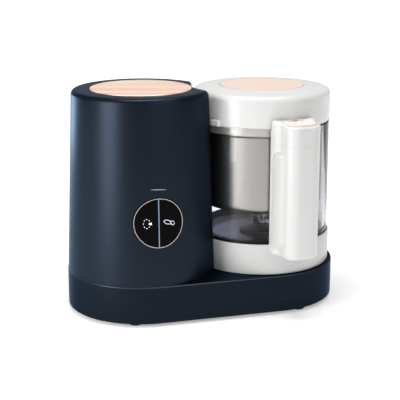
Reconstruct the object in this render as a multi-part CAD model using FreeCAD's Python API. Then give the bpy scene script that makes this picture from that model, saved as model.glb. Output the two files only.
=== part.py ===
import FreeCAD, Part
import math
import os

os.makedirs("parts", exist_ok=True)
Vec = FreeCAD.Vector

# Driving sizes of the whole appliance, in millimetres
AXIS_GAP = 129.0
BASE_TOWER_RADIUS = 78.6
BASE_BOWL_RADIUS = 77.2
BASE_HEIGHT = 38.9
FOOT_HEIGHT = 3.0
FOOT_RADIUS = 8.0
FOOT_SPREAD_X = 22.0
FOOT_SPREAD_Y = 62.0
PLASTIC_WALL = 2.6
BASE_TOP_ROUND = 1.2
BASE_FOOT_ROUND = 2.2
POST_RADIUS = 4.5
POST_EDGE_INSET = 12.0
SCREW_RADIUS = 1.5
SCREW_HEAD_RADIUS = 2.9
SCREW_HEAD_HEIGHT = 1.6
VENT_PITCH = 8.0
VENT_WIDTH = 3.2
VENT_LENGTH = 44.0

# Driving sizes of the tower and its tank
TOWER_HEIGHT = 186.7
TOWER_FOOT_RADIUS = 78.0
TOWER_TOP_RADIUS = 70.6
TOWER_TOP_ROUND = 5.0
TOWER_EDGE_ROUND = 4.0
CAP_RADIUS = 51.6
CAP_DISC_THICKNESS = 1.6
CAP_RECESS_DEPTH = 6.0
TANK_RADIUS = 44.0
TANK_DEPTH = 71.0
TANK_WALL = 1.0
TANK_FLANGE = 4.4
HEATER_RADIUS = 34.0
HEATER_THICKNESS = 5.0
HEATER_TUBE_RADIUS = 3.4
STEAM_PORT_DROP = 15.0
STEAM_TUBE_RADIUS = 4.0
STEAM_TUBE_WALL = 1.0
GLAND_RADIUS = 5.4
GLAND_HOLE_RADIUS = 3.4
GLAND_RIM = 2.2
GLAND_SHARE = 0.45

# Driving sizes of the control panel
PANEL_HEIGHT = 64.8
PANEL_RADIUS = 25.8
BEZEL_WIDTH = 1.5
BEZEL_PROUD = 0.5
LIGHT_BAR_WIDTH = 2.0
BUTTON_DEPTH = 7.6
BUTTON_TRAVEL = 1.4
CARRIER_DEPTH = 5.5
KEY_DOME_RADIUS = 6.0
BOARD_THICKNESS = 1.6
BOARD_CHIPS = [(-9, 8, 10, 10, 2.2), (9, 9, 7, 5, 1.6), (0, -12, 16, 7, 6.5), (14, -4, 5, 8, 9)]

# Driving sizes of the motor and the belt drive
MOTOR_RADIUS = 29.0
MOTOR_HEIGHT = 72.0
MOTOR_WALL = 2.0
MOTOR_CORE_HEIGHT = 30.0
MOTOR_AIR_GAP = 0.6
STATOR_WALL = 6.0
MOTOR_SHAFT_RADIUS = 3.0
MOTOR_PULLEY_RADIUS = 11.0
DRIVEN_PULLEY_RADIUS = 33.0
PULLEY_HEIGHT = 15.0
PULLEY_FLANGE = 2.0
BELT_THICKNESS = 2.4
DRIVE_SHAFT_RADIUS = 4.0
BUSH_WALL = 2.5
BOSS_RADIUS = 20.0
BOSS_HEIGHT = 5.1
BEARING_HEIGHT = 5.4
DOG_RADIUS = 11.0
DOG_WAIST_RADIUS = 8.0
DOG_HEIGHT = 7.5
DOG_LOBES = 6
CUP_RADIUS = 15.0

# Driving sizes of the bowl, the basket and the lid
COLLAR_RADIUS = 73.1
COLLAR_HEIGHT = 31.9
COLLAR_FLOOR_DROP = 10.2
GLASS_RADIUS = 71.2
GLASS_WALL = 4.0
GLASS_FLOOR = 5.0
GASKET = 1.2
HUB_RADIUS = 15.3
HUB_FLANGE_RADIUS = 22.0
BASKET_DEPTH = 89.0
BASKET_RADIUS = 64.8
BASKET_RIM_DEPTH = 8.0
BASKET_HOLE_RADIUS = 2.2
STEEL = 0.8
LID_RADIUS = 71.6
LID_HEIGHT = 34.0
LID_BELOW_TOWER = 1.1
LID_DOME = 2.8
LID_EDGE_ROUND = 6.0
LID_WALL = 2.4
LID_DISC_RADIUS = 44.1
LID_DISC_THICKNESS = 1.6
LID_PLUG_RADIUS = 63.2
LID_PLUG_DEPTH = 7.0
LUG_REACH = 3.7
LUG_HEIGHT = 6.0
LUG_START = 29.0
LUG_SPAN = 8.0
KEY_LUG_SPAN = 2.2
KEY_LUG_REACH = 1.9
BLADE_LENGTH = 34.0
BLADE_WIDTH = 13.0
BLADE_THICKNESS = 1.4
BLADE_SHAFT_RADIUS = 3.0

# Driving sizes of the handle
HANDLE_ANGLE = 7.4
HANDLE_PLATE_HALF = 22.5
HANDLE_GRIP_HALF = 18.5
HANDLE_GRIP_DEPTH = 19.9
HANDLE_FOOT_DROP = 9.2
HANDLE_LID_LAP = 8.8
HANDLE_HEAD_HEIGHT = 22.3
HANDLE_TOP_FALL = 2.8
HANDLE_HEAD_ROUND = 2.0
HANDLE_FOOT_ROUND = 4.0
HANDLE_FLANGE = 4.4
HANDLE_WAIST = 11.0
PLATE_ROUND = 2.0
WAIST_ROUND = 8.0
GRIP_ROUND = 12.0
SCOOP_RADIUS = 10.5
SCOOP_MARGIN = 6.0
THUMB_HALF = 15.5
THUMB_LENGTH = 20.5
THUMB_FRONT_ROUND = 9.0
THUMB_BACK_ROUND = 3.0
THUMB_TRAVEL = 3.6
THUMB_PROUD = 0.9
THUMB_DISH = 1.2
THUMB_DISH_RADIUS = 80.0
THUMB_LIP = 4.4
THUMB_ROUND = 0.6
THUMB_WELL_DEPTH = 16.3
TONGUE_HALF = 3.0
SPRING_RADIUS = 2.9

# Clearances
RUNNING = 0.05
SLIDING = 0.4
MOVING = 0.3
SEAM = 0.3
REST = 0.4
NEST_GAP = 0.9
HEAD_SEAM = 0.15
CUT_OVER = 20.0

# Levels and places that follow from the sizes above
TOWER_X = -AXIS_GAP / 2
BOWL_X = AXIS_GAP / 2
BASE_TOP = FOOT_HEIGHT + BASE_HEIGHT
DECK_UNDER = BASE_TOP - PLASTIC_WALL
TOWER_TOP = BASE_TOP + TOWER_HEIGHT
NEST_RADIUS = COLLAR_RADIUS + NEST_GAP
NEST_WALL_RADIUS = NEST_RADIUS + PLASTIC_WALL
COVER_BOTTOM = FOOT_HEIGHT + REST
COVER_TOP = COVER_BOTTOM + PLASTIC_WALL
CAP_FLOOR = TOWER_TOP - CAP_RECESS_DEPTH
CAP_RECESS_RADIUS = CAP_RADIUS + SLIDING * 2
TANK_BOTTOM = CAP_FLOOR - TANK_DEPTH
TANK_FLANGE_TOP = CAP_FLOOR + TANK_WALL
STEAM_LEVEL = CAP_FLOOR - STEAM_PORT_DROP
PANEL_LEVEL = BASE_TOP + PANEL_HEIGHT
BOSS_TOP = BASE_TOP + BOSS_HEIGHT
DOG_BOTTOM = BOSS_TOP + 1.0
DOG_TOP = DOG_BOTTOM + DOG_HEIGHT
CUP_BOTTOM = DOG_BOTTOM + 1.6
CUP_ROOF = DOG_TOP + 0.7
CUP_TOP = CUP_ROOF + 2.0
COLLAR_BOTTOM = BASE_TOP + REST
COLLAR_TOP = COLLAR_BOTTOM + COLLAR_HEIGHT
FLOOR_TOP = COLLAR_TOP - COLLAR_FLOOR_DROP
FLOOR_UNDER = FLOOR_TOP - 3.0
GLASS_BOTTOM = FLOOR_TOP + GASKET
GLASS_INSIDE = GLASS_RADIUS - GLASS_WALL
GLASS_FLOOR_TOP = GLASS_BOTTOM + GLASS_FLOOR
HUB_BOTTOM = CUP_TOP + 0.8
LID_TOP = TOWER_TOP - LID_BELOW_TOWER
LID_BOTTOM = LID_TOP - LID_HEIGHT
GLASS_TOP = LID_BOTTOM - SEAM - STEEL
HANDLE_REACH = COLLAR_RADIUS + HANDLE_WAIST + HANDLE_GRIP_DEPTH
HANDLE_TOP = LID_BOTTOM + HANDLE_LID_LAP
HANDLE_SEAM = HANDLE_TOP - HANDLE_HEAD_HEIGHT
HANDLE_BOTTOM = COLLAR_TOP - HANDLE_FOOT_DROP
SCOOP_TOP = HANDLE_SEAM - SCOOP_MARGIN
SCOOP_BOTTOM = HANDLE_BOTTOM + SCOOP_MARGIN
THUMB_NEAR = -COLLAR_RADIUS - THUMB_LIP
THUMB_FAR = THUMB_NEAR - THUMB_LENGTH
BASKET_BOTTOM = GLASS_TOP - BASKET_DEPTH
BASKET_RIM_RADIUS = GLASS_INSIDE - SLIDING
BLADE_LEVEL = GLASS_FLOOR_TOP + GASKET + 6.0
PULLEY_BOTTOM = COVER_TOP + BEARING_HEIGHT + 0.8
PULLEY_TOP = PULLEY_BOTTOM + PULLEY_HEIGHT
BRACKET_THICKNESS = 2.5
MOTOR_BOTTOM = BASE_TOP + BRACKET_THICKNESS


def flat(point):
    """Place a 2-D point in the plan."""
    return Vec(point.x, point.y, 0)


def upright(point):
    """Place a 2-D point (radius, height) in the plane through the axis."""
    return Vec(point.x, 0, point.y)


def rounded_face(points, place):
    """Face inside a closed outline of (a, b, corner radius) points."""
    count = len(points)
    corners = []
    for index in range(count):
        corner = Vec(points[index][0], points[index][1], 0)
        radius = points[index][2] if len(points[index]) > 2 else 0
        if radius == 0:
            corners.append((corner, None, corner))
            continue
        before = points[index - 1]
        after = points[(index + 1) % count]
        back = (Vec(before[0], before[1], 0) - corner).normalize()
        ahead = (Vec(after[0], after[1], 0) - corner).normalize()
        half = back.getAngle(ahead) / 2
        reach = radius / math.tan(half)
        bisector = Vec(back.x + ahead.x, back.y + ahead.y, 0).normalize()
        middle = corner + bisector * (radius / math.sin(half) - radius)
        corners.append((corner + back * reach, middle, corner + ahead * reach))
    edges = []
    for index in range(count):
        start, middle, end = corners[index]
        if middle is not None:
            edges.append(Part.Arc(place(start), place(middle), place(end)).toShape())
        following = corners[(index + 1) % count][0]
        if (following - end).Length > 1e-6:
            edges.append(Part.makeLine(place(end), place(following)))
    return Part.Face(Part.Wire(edges))


def turned(points, axis_x):
    """Solid of revolution from a (radius, height, corner radius) outline."""
    solid = rounded_face(points, upright).revolve(Vec(0, 0, 0), Vec(0, 0, 1), 360)
    solid.translate(Vec(axis_x, 0, 0))
    return solid


def prism(points, low, high):
    """Upright prism from a plan outline of (x, y, corner radius) points."""
    solid = rounded_face(points, flat).extrude(Vec(0, 0, high - low))
    solid.translate(Vec(0, 0, low))
    return solid


def disc(radius, low, high, x=0.0, y=0.0):
    """Upright cylinder."""
    return Part.makeCylinder(radius, high - low, Vec(x, y, low))


def tube(outer, inner, low, high, x=0.0, y=0.0):
    """Upright tube."""
    return disc(outer, low, high, x, y).cut(disc(inner, low, high, x, y))


def block(x_low, x_high, y_low, y_high, z_low, z_high):
    """Box between two corners."""
    return Part.makeBox(x_high - x_low, y_high - y_low, z_high - z_low, Vec(x_low, y_low, z_low))


def joined(shapes):
    """One solid from shapes that touch or overlap."""
    return shapes[0].fuse(shapes[1:]).removeSplitter()


def level_edges(solid, level):
    """Edges that lie flat at one height."""
    found = []
    for edge in solid.Edges:
        box = edge.BoundBox
        if abs(box.ZMin - level) < 1e-4 and abs(box.ZMax - level) < 1e-4:
            found.append(edge)
    return found


def loop_face(left_radius, right_radius):
    """Plan outline round the tower axis and the bowl axis with straight flanks."""
    lean = (left_radius - right_radius) / AXIS_GAP
    rise = math.sqrt(1 - lean * lean)
    left_top = Vec(TOWER_X + left_radius * lean, left_radius * rise, 0)
    right_top = Vec(BOWL_X + right_radius * lean, right_radius * rise, 0)
    right_low = Vec(right_top.x, -right_top.y, 0)
    left_low = Vec(left_top.x, -left_top.y, 0)
    right_end = Vec(BOWL_X + right_radius, 0, 0)
    left_end = Vec(TOWER_X - left_radius, 0, 0)
    edges = [
        Part.makeLine(left_top, right_top),
        Part.Arc(right_top, right_end, right_low).toShape(),
        Part.makeLine(right_low, left_low),
        Part.Arc(left_low, left_end, left_top).toShape(),
    ]
    return Part.Face(Part.Wire(edges))


def loop_prism(left_radius, right_radius, low, high):
    """Prism of the two-axis outline."""
    solid = loop_face(left_radius, right_radius).extrude(Vec(0, 0, high - low))
    solid.translate(Vec(0, 0, low))
    return solid


def base_prism(inset, low, high):
    """Prism of the base outline, inset by a distance."""
    return loop_prism(BASE_TOWER_RADIUS - inset, BASE_BOWL_RADIUS - inset, low, high)


def tower_cone(growth):
    """Solid cone of the tower's outer wall, grown by a distance."""
    low = Vec(TOWER_X, 0, BASE_TOP)
    return Part.makeCone(TOWER_FOOT_RADIUS + growth, TOWER_TOP_RADIUS + growth, TOWER_HEIGHT, low)


def tower_radius(level):
    """Outer radius of the tower at a height."""
    share = (level - BASE_TOP) / TOWER_HEIGHT
    return TOWER_FOOT_RADIUS + (TOWER_TOP_RADIUS - TOWER_FOOT_RADIUS) * share


def rod_y(radius, y_low, y_high, x, z):
    """Cylinder along Y."""
    return Part.makeCylinder(radius, y_high - y_low, Vec(x, y_low, z), Vec(0, 1, 0))


def rod_x(radius, x_low, x_high, y, z):
    """Cylinder along X."""
    return Part.makeCylinder(radius, x_high - x_low, Vec(x_low, y, z), Vec(1, 0, 0))


def on_circle(axis_x, radius, turns):
    """Plan points on a circle round an axis, at angles in degrees."""
    return [(axis_x + radius * math.cos(math.radians(turn)), radius * math.sin(math.radians(turn)))
            for turn in turns]


# Places of the fasteners
FOOT_PLACES = [
    (side * (AXIS_GAP / 2 + FOOT_SPREAD_X), row * FOOT_SPREAD_Y) for side in (-1, 1) for row in (-1, 1)
]
POST_ROW = min(BASE_TOWER_RADIUS, BASE_BOWL_RADIUS) - POST_EDGE_INSET
POST_PLACES = [(column * AXIS_GAP / 2, row * POST_ROW) for column in (-1, 0, 1) for row in (-1, 1)]
TOWER_POST_CIRCLE = TOWER_FOOT_RADIUS - POST_EDGE_INSET
TOWER_POST_TURNS = (125, 180, 235)
TOWER_POST_PLACES = on_circle(TOWER_X, TOWER_POST_CIRCLE, TOWER_POST_TURNS)
DECK_HOLE_RADIUS = MOTOR_RADIUS + 15.0
BRACKET_RADIUS = DECK_HOLE_RADIUS + 10.0
BRACKET_SCREW_PLACES = on_circle(TOWER_X, DECK_HOLE_RADIUS + 4.5, (60, 150, 210, 300))


def screws(places, head_low, length):
    """Round-headed screws pointing up from below."""
    shapes = []
    for x, y in places:
        neck = head_low + SCREW_HEAD_HEIGHT
        head = disc(SCREW_HEAD_RADIUS, head_low, neck, x, y)
        slot = block(x - 2.0, x + 2.0, y - 0.35, y + 0.35, head_low - 1, head_low + 0.7)
        shank = disc(SCREW_RADIUS, neck, head_low + length, x, y)
        shapes.append(head.cut(slot).fuse(shank))
    return Part.makeCompound(shapes)


def build_base():
    """Base shell, bottom cover, feet, screws and cord gland."""
    pieces = {}
    body = base_prism(0, FOOT_HEIGHT, BASE_TOP)
    body = body.makeFillet(BASE_TOP_ROUND, level_edges(body, BASE_TOP))
    body = body.makeFillet(BASE_FOOT_ROUND, level_edges(body, FOOT_HEIGHT))
    body = body.cut(base_prism(PLASTIC_WALL, FOOT_HEIGHT - 1, DECK_UNDER))
    body = body.cut(disc(DECK_HOLE_RADIUS, DECK_UNDER - 1, BASE_TOP + 1, TOWER_X))
    boss = turned([
        (0, DECK_UNDER - 4), (BOSS_RADIUS - 8, DECK_UNDER - 4), (BOSS_RADIUS - 8, DECK_UNDER),
        (BOSS_RADIUS + 3, DECK_UNDER), (BOSS_RADIUS + 3, BASE_TOP), (BOSS_RADIUS, BASE_TOP),
        (BOSS_RADIUS, BOSS_TOP, 2.0), (0, BOSS_TOP)], BOWL_X)
    posts = [disc(POST_RADIUS, COVER_TOP, DECK_UNDER + 0.5, x, y) for x, y in POST_PLACES]
    body = joined([body, boss] + posts)
    for x, y in POST_PLACES:
        body = body.cut(disc(SCREW_RADIUS + RUNNING, COVER_TOP - 1, COVER_TOP + 14, x, y))
    for x, y in TOWER_POST_PLACES + BRACKET_SCREW_PLACES:
        body = body.cut(disc(SCREW_RADIUS + RUNNING, DECK_UNDER - 1, BASE_TOP + 1, x, y))
    body = body.cut(disc(DRIVE_SHAFT_RADIUS + BUSH_WALL, DECK_UNDER - 6, BOSS_TOP + 1, BOWL_X))
    gland_y = BASE_TOWER_RADIUS
    gland_z = FOOT_HEIGHT + BASE_HEIGHT * GLAND_SHARE
    body = body.cut(rod_y(GLAND_RADIUS, gland_y - 8, gland_y + 8, TOWER_X, gland_z))
    pieces["base_shell"] = body

    cover = base_prism(PLASTIC_WALL + SEAM, COVER_BOTTOM, COVER_TOP)
    bearing = disc(DRIVE_SHAFT_RADIUS + BUSH_WALL + 3, COVER_TOP - 0.5, COVER_TOP + BEARING_HEIGHT, BOWL_X)
    rib_row = DRIVEN_PULLEY_RADIUS + BELT_THICKNESS + 6
    ribs = [block(TOWER_X, BOWL_X, row * rib_row - 0.9, row * rib_row + 0.9, COVER_TOP - 0.5, COVER_TOP + 3)
            for row in (-1, 1)]
    cover = joined([cover, bearing] + ribs)
    cover = cover.cut(disc(DRIVE_SHAFT_RADIUS + BUSH_WALL, COVER_TOP, COVER_TOP + 8, BOWL_X))
    for x, y in FOOT_PLACES:
        cover = cover.cut(disc(FOOT_RADIUS, COVER_BOTTOM - 1, COVER_BOTTOM + 0.8, x, y))
    for x, y in POST_PLACES:
        head_hole = disc(SCREW_HEAD_RADIUS + SEAM, COVER_BOTTOM - 1, COVER_BOTTOM + SCREW_HEAD_HEIGHT, x, y)
        cover = cover.cut(head_hole)
        cover = cover.cut(disc(SCREW_RADIUS + RUNNING, COVER_BOTTOM, COVER_TOP + 1, x, y))
    for step in range(-3, 4):
        x = TOWER_X + step * VENT_PITCH
        side = VENT_WIDTH / 2
        end = VENT_LENGTH / 2
        bend = side * 0.95
        slot = prism([
            (x - side, -end, bend), (x + side, -end, bend), (x + side, end, bend), (x - side, end, bend)],
            COVER_BOTTOM - 1, COVER_TOP + 1)
        cover = cover.cut(slot)
    pieces["bottom_cover"] = cover

    feet = []
    for x, y in FOOT_PLACES:
        foot = turned([
            (0, 0), (FOOT_RADIUS - 1, 0, 0.8), (FOOT_RADIUS, COVER_BOTTOM + 0.8), (0, COVER_BOTTOM + 0.8)], x)
        foot.translate(Vec(0, y, 0))
        feet.append(foot)
    pieces["rubber_feet"] = Part.makeCompound(feet)
    pieces["cover_screws"] = screws(POST_PLACES, COVER_BOTTOM, 12)

    gland = rod_y(GLAND_RADIUS, gland_y - 7, gland_y, TOWER_X, gland_z)
    rim = rod_y(GLAND_RADIUS + GLAND_RIM, gland_y, gland_y + GLAND_RIM, TOWER_X, gland_z)
    rim = rim.makeFillet(0.8, [edge for edge in rim.Edges if edge.BoundBox.YMin > gland_y + GLAND_RIM - 0.1])
    nut = rod_y(GLAND_RADIUS + GLAND_RIM, gland_y - 7, gland_y - PLASTIC_WALL - 1.0, TOWER_X, gland_z)
    gland = joined([gland, rim, nut])
    hole = rod_y(GLAND_HOLE_RADIUS, gland_y - 9, gland_y + 9, TOWER_X, gland_z)
    pieces["cord_gland"] = gland.cut(hole)
    return pieces


def build_tower():
    """Tapered tower shell with the bowl's nest, tank, heater and steam nozzle."""
    pieces = {}
    outer = turned([
        (0, BASE_TOP), (TOWER_FOOT_RADIUS, BASE_TOP), (TOWER_TOP_RADIUS, TOWER_TOP, TOWER_TOP_ROUND),
        (0, TOWER_TOP)], TOWER_X)
    outer = outer.cut(disc(NEST_RADIUS, BASE_TOP - 1, TOWER_TOP + 1, BOWL_X))
    lips = [edge for edge in outer.Edges if edge.BoundBox.ZLength > TOWER_HEIGHT * 0.8
            and edge.BoundBox.XMin > TOWER_X + 20]
    outer = outer.makeFillet(TOWER_EDGE_ROUND, lips)
    cavity = turned([
        (0, BASE_TOP - 1), (tower_radius(BASE_TOP - 1) - PLASTIC_WALL, BASE_TOP - 1),
        (tower_radius(CAP_FLOOR - PLASTIC_WALL) - PLASTIC_WALL, CAP_FLOOR - PLASTIC_WALL, 3),
        (0, CAP_FLOOR - PLASTIC_WALL)], TOWER_X)
    cavity = cavity.cut(disc(NEST_WALL_RADIUS, BASE_TOP - 2, TOWER_TOP, BOWL_X))
    shell = outer.cut(cavity)
    shell = shell.cut(disc(CAP_RECESS_RADIUS, CAP_FLOOR, TOWER_TOP + 1, TOWER_X))
    shell = shell.cut(disc(TANK_RADIUS + SEAM, CAP_FLOOR - 8, TOWER_TOP, TOWER_X))
    shell = shell.cut(rod_y(PANEL_RADIUS + 0.2, -TOWER_FOOT_RADIUS - 5, -40, TOWER_X, PANEL_LEVEL))
    shell = shell.cut(rod_x(STEAM_TUBE_RADIUS + 2.5, TOWER_X + 40, 0, 0, STEAM_LEVEL))
    posts = [disc(POST_RADIUS, BASE_TOP, BASE_TOP + 18, x, y) for x, y in TOWER_POST_PLACES]
    webs = []
    reach = tower_radius(BASE_TOP + 16) - PLASTIC_WALL * 0.6
    for turn in TOWER_POST_TURNS:
        web = block(TOWER_POST_CIRCLE, reach, -1.2, 1.2, BASE_TOP, BASE_TOP + 16)
        web.rotate(Vec(0, 0, 0), Vec(0, 0, 1), turn)
        web.translate(Vec(TOWER_X, 0, 0))
        webs.append(web)
    shell = joined([shell] + posts + webs)
    for x, y in TOWER_POST_PLACES:
        shell = shell.cut(disc(SCREW_RADIUS + RUNNING, BASE_TOP - 1, BASE_TOP + 12, x, y))
    pieces["tower_shell"] = shell
    pieces["tower_screws"] = screws(TOWER_POST_PLACES, DECK_UNDER - 1.6, 12)

    tank = turned([
        (0, TANK_BOTTOM), (TANK_RADIUS, TANK_BOTTOM, 7), (TANK_RADIUS, CAP_FLOOR),
        (TANK_RADIUS + TANK_FLANGE, CAP_FLOOR), (TANK_RADIUS + TANK_FLANGE, TANK_FLANGE_TOP),
        (TANK_RADIUS - TANK_WALL, TANK_FLANGE_TOP), (TANK_RADIUS - TANK_WALL, TANK_BOTTOM + TANK_WALL, 6),
        (0, TANK_BOTTOM + TANK_WALL)], TOWER_X)
    stub_end = BOWL_X - NEST_WALL_RADIUS - 2.4
    stub = rod_x(STEAM_TUBE_RADIUS, TOWER_X + TANK_RADIUS - 0.8, stub_end, 0, STEAM_LEVEL)
    bore = rod_x(STEAM_TUBE_RADIUS - STEAM_TUBE_WALL, TOWER_X + TANK_RADIUS - 5, stub_end + 1, 0, STEAM_LEVEL)
    pieces["water_tank"] = joined([tank, stub]).cut(bore)

    nozzle_end = BOWL_X - COLLAR_RADIUS - MOVING
    nozzle = rod_x(STEAM_TUBE_RADIUS + 2.5, stub_end, nozzle_end, 0, STEAM_LEVEL)
    flange = rod_x(STEAM_TUBE_RADIUS + 5.0, stub_end - 0.2, BOWL_X - NEST_WALL_RADIUS, 0, STEAM_LEVEL)
    sleeve = rod_x(STEAM_TUBE_RADIUS + 1.2, TOWER_X + TANK_RADIUS + 1.5, stub_end, 0, STEAM_LEVEL)
    nozzle = joined([sleeve, flange, nozzle])
    wide = rod_x(STEAM_TUBE_RADIUS, TOWER_X + TANK_RADIUS, stub_end, 0, STEAM_LEVEL)
    narrow = rod_x(STEAM_TUBE_RADIUS - STEAM_TUBE_WALL, stub_end - 1, nozzle_end + 1, 0, STEAM_LEVEL)
    pieces["steam_nozzle"] = nozzle.cut(wide).cut(narrow)

    plate = turned([
        (0, TANK_BOTTOM - HEATER_THICKNESS), (HEATER_RADIUS, TANK_BOTTOM - HEATER_THICKNESS, 1.2),
        (HEATER_RADIUS, TANK_BOTTOM), (0, TANK_BOTTOM)], TOWER_X)
    ring_middle = Vec(TOWER_X, 0, TANK_BOTTOM - HEATER_THICKNESS)
    ring = Part.makeTorus(HEATER_RADIUS * 0.72, HEATER_TUBE_RADIUS, ring_middle)
    ends = []
    for side in (-1, 1):
        ends.append(disc(HEATER_TUBE_RADIUS * 0.6, TANK_BOTTOM - HEATER_THICKNESS - 9, TANK_BOTTOM - 3,
                         TOWER_X - HEATER_RADIUS * 0.72, side * 7))
    pieces["heater_plate"] = joined([plate, ring] + ends)
    return pieces


def build_cap():
    """Lift-off tank cap with its satin disc and seal."""
    pieces = {}
    disc_bottom = TOWER_TOP - 0.9
    cap_top = disc_bottom + CAP_DISC_THICKNESS
    plug_radius = TANK_RADIUS - TANK_WALL - 1.0
    plug_bottom = CAP_FLOOR - 8.6
    rim_bottom = TANK_FLANGE_TOP + SLIDING
    body = turned([
        (0, rim_bottom), (plug_radius - 3, rim_bottom), (plug_radius - 3, plug_bottom),
        (plug_radius, plug_bottom, 0.8), (plug_radius, plug_bottom + 2.4),
        (plug_radius - 1, plug_bottom + 2.4), (plug_radius - 1, plug_bottom + 5.4),
        (plug_radius, plug_bottom + 5.4), (plug_radius, rim_bottom),
        (CAP_RADIUS - 0.6, rim_bottom, 0.6), (CAP_RADIUS - 0.6, disc_bottom), (0, disc_bottom)], TOWER_X)
    pieces["cap_body"] = body
    pieces["cap_disc"] = turned([
        (0, disc_bottom), (CAP_RADIUS, disc_bottom), (CAP_RADIUS, cap_top, 0.7), (0, cap_top)], TOWER_X)
    pieces["cap_seal"] = turned([
        (plug_radius - 1, plug_bottom + 2.4), (plug_radius, plug_bottom + 2.4),
        (TANK_RADIUS - TANK_WALL - MOVING, plug_bottom + 3.2, 0.3),
        (TANK_RADIUS - TANK_WALL - MOVING, plug_bottom + 4.6, 0.3),
        (plug_radius, plug_bottom + 5.4), (plug_radius - 1, plug_bottom + 5.4)], TOWER_X)
    return pieces


def build_panel():
    """Control ring, two half-disc buttons, light bar and the electronics behind."""
    pieces = {}
    face_y = -tower_radius(PANEL_LEVEL)
    back_y = face_y + BUTTON_DEPTH
    front_y = face_y - 6
    carrier_y = back_y + BUTTON_TRAVEL + MOVING
    inner_radius = PANEL_RADIUS - BEZEL_WIDTH
    button_radius = inner_radius - SLIDING
    middle_half = LIGHT_BAR_WIDTH / 2
    ring = rod_y(PANEL_RADIUS, front_y, carrier_y, TOWER_X, PANEL_LEVEL)
    ring = ring.cut(rod_y(inner_radius, front_y, carrier_y, TOWER_X, PANEL_LEVEL))
    pieces["control_bezel"] = ring.common(tower_cone(BEZEL_PROUD))
    bar = block(TOWER_X - middle_half, TOWER_X + middle_half, front_y, carrier_y,
                PANEL_LEVEL - inner_radius + 0.1, PANEL_LEVEL + inner_radius - 0.1)
    round_bar = rod_y(inner_radius, front_y, carrier_y, TOWER_X, PANEL_LEVEL)
    pieces["light_bar"] = bar.common(round_bar).common(tower_cone(0.1))
    face = rod_y(button_radius, front_y, back_y, TOWER_X, PANEL_LEVEL).common(tower_cone(0.0))
    gap = middle_half + SLIDING
    left = block(TOWER_X - PANEL_RADIUS, TOWER_X - gap, front_y, back_y,
                 PANEL_LEVEL - PANEL_RADIUS, PANEL_LEVEL + PANEL_RADIUS)
    right = block(TOWER_X + gap, TOWER_X + PANEL_RADIUS, front_y, back_y,
                  PANEL_LEVEL - PANEL_RADIUS, PANEL_LEVEL + PANEL_RADIUS)
    pieces["steam_button"] = face.common(left)
    pieces["blend_button"] = face.common(right)

    carrier_radius = PANEL_RADIUS + 5
    opening = button_radius - 2.2
    carrier = rod_y(carrier_radius, carrier_y, carrier_y + CARRIER_DEPTH, TOWER_X, PANEL_LEVEL)
    carrier = carrier.cut(rod_y(opening, carrier_y - 1, carrier_y + CARRIER_DEPTH + 1, TOWER_X, PANEL_LEVEL))
    bridge = block(TOWER_X - 2.4, TOWER_X + 2.4, carrier_y, carrier_y + 2,
                   PANEL_LEVEL - opening - 1, PANEL_LEVEL + opening + 1)
    carrier = joined([carrier, bridge])
    pieces["panel_carrier"] = carrier.common(tower_cone(-PLASTIC_WALL))
    board_y = carrier_y + CARRIER_DEPTH
    mat = rod_y(opening - SEAM, board_y - 1.4, board_y, TOWER_X, PANEL_LEVEL)
    domes = []
    for side in (-1, 1):
        centre = TOWER_X + side * opening * 0.5
        domes.append(Part.makeCone(KEY_DOME_RADIUS * 0.7, KEY_DOME_RADIUS, board_y - 1.4 - carrier_y,
                                   Vec(centre, carrier_y, PANEL_LEVEL), Vec(0, 1, 0)))
    pieces["keypad"] = joined([mat] + domes)
    board = rod_y(PANEL_RADIUS + 3, board_y, board_y + BOARD_THICKNESS, TOWER_X, PANEL_LEVEL)
    chips = []
    chip_y = board_y + BOARD_THICKNESS
    for x, z, width, height, depth in BOARD_CHIPS:
        left = TOWER_X + x - width / 2
        low = PANEL_LEVEL + z - height / 2
        chips.append(block(left, left + width, chip_y - 0.2, chip_y + depth, low, low + height))
    pieces["circuit_board"] = joined([board] + chips)
    return pieces


def pulley(radius, bore, x):
    """Flanged pulley for the flat belt, with lightening holes if it is large."""
    hub = bore + 4.5
    groove_low = PULLEY_BOTTOM + PULLEY_FLANGE
    groove_high = PULLEY_TOP - PULLEY_FLANGE
    outline = [
        (bore, PULLEY_BOTTOM), (radius + BELT_THICKNESS, PULLEY_BOTTOM, 0.5),
        (radius + BELT_THICKNESS, groove_low - 0.4), (radius, groove_low), (radius, groove_high),
        (radius + BELT_THICKNESS, groove_high + 0.4), (radius + BELT_THICKNESS, PULLEY_TOP, 0.5),
        (bore, PULLEY_TOP)]
    wheel = turned(outline, x)
    if radius < hub * 2:
        return wheel
    pocket = tube(radius - 3.5, hub, PULLEY_BOTTOM + 9, PULLEY_TOP + 1, x)
    wheel = wheel.cut(pocket).cut(tube(radius - 3.5, hub, PULLEY_BOTTOM - 1, PULLEY_BOTTOM + 6, x))
    middle = (radius - 3.5 + hub) / 2
    for hole_x, hole_y in on_circle(x, middle, range(0, 360, 60)):
        wheel = wheel.cut(disc((radius - hub) * 0.26, PULLEY_BOTTOM, PULLEY_TOP, hole_x, hole_y))
    return wheel


def star(growth, low, high):
    """Lobed star prism of the drive dog, grown by a clearance."""
    points = []
    for step in range(DOG_LOBES * 2):
        radius = (DOG_RADIUS if step % 2 == 0 else DOG_WAIST_RADIUS) + growth
        turn = math.pi * step / DOG_LOBES
        points.append((radius * math.cos(turn), radius * math.sin(turn), 1.2))
    return prism(points, low, high)


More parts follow.
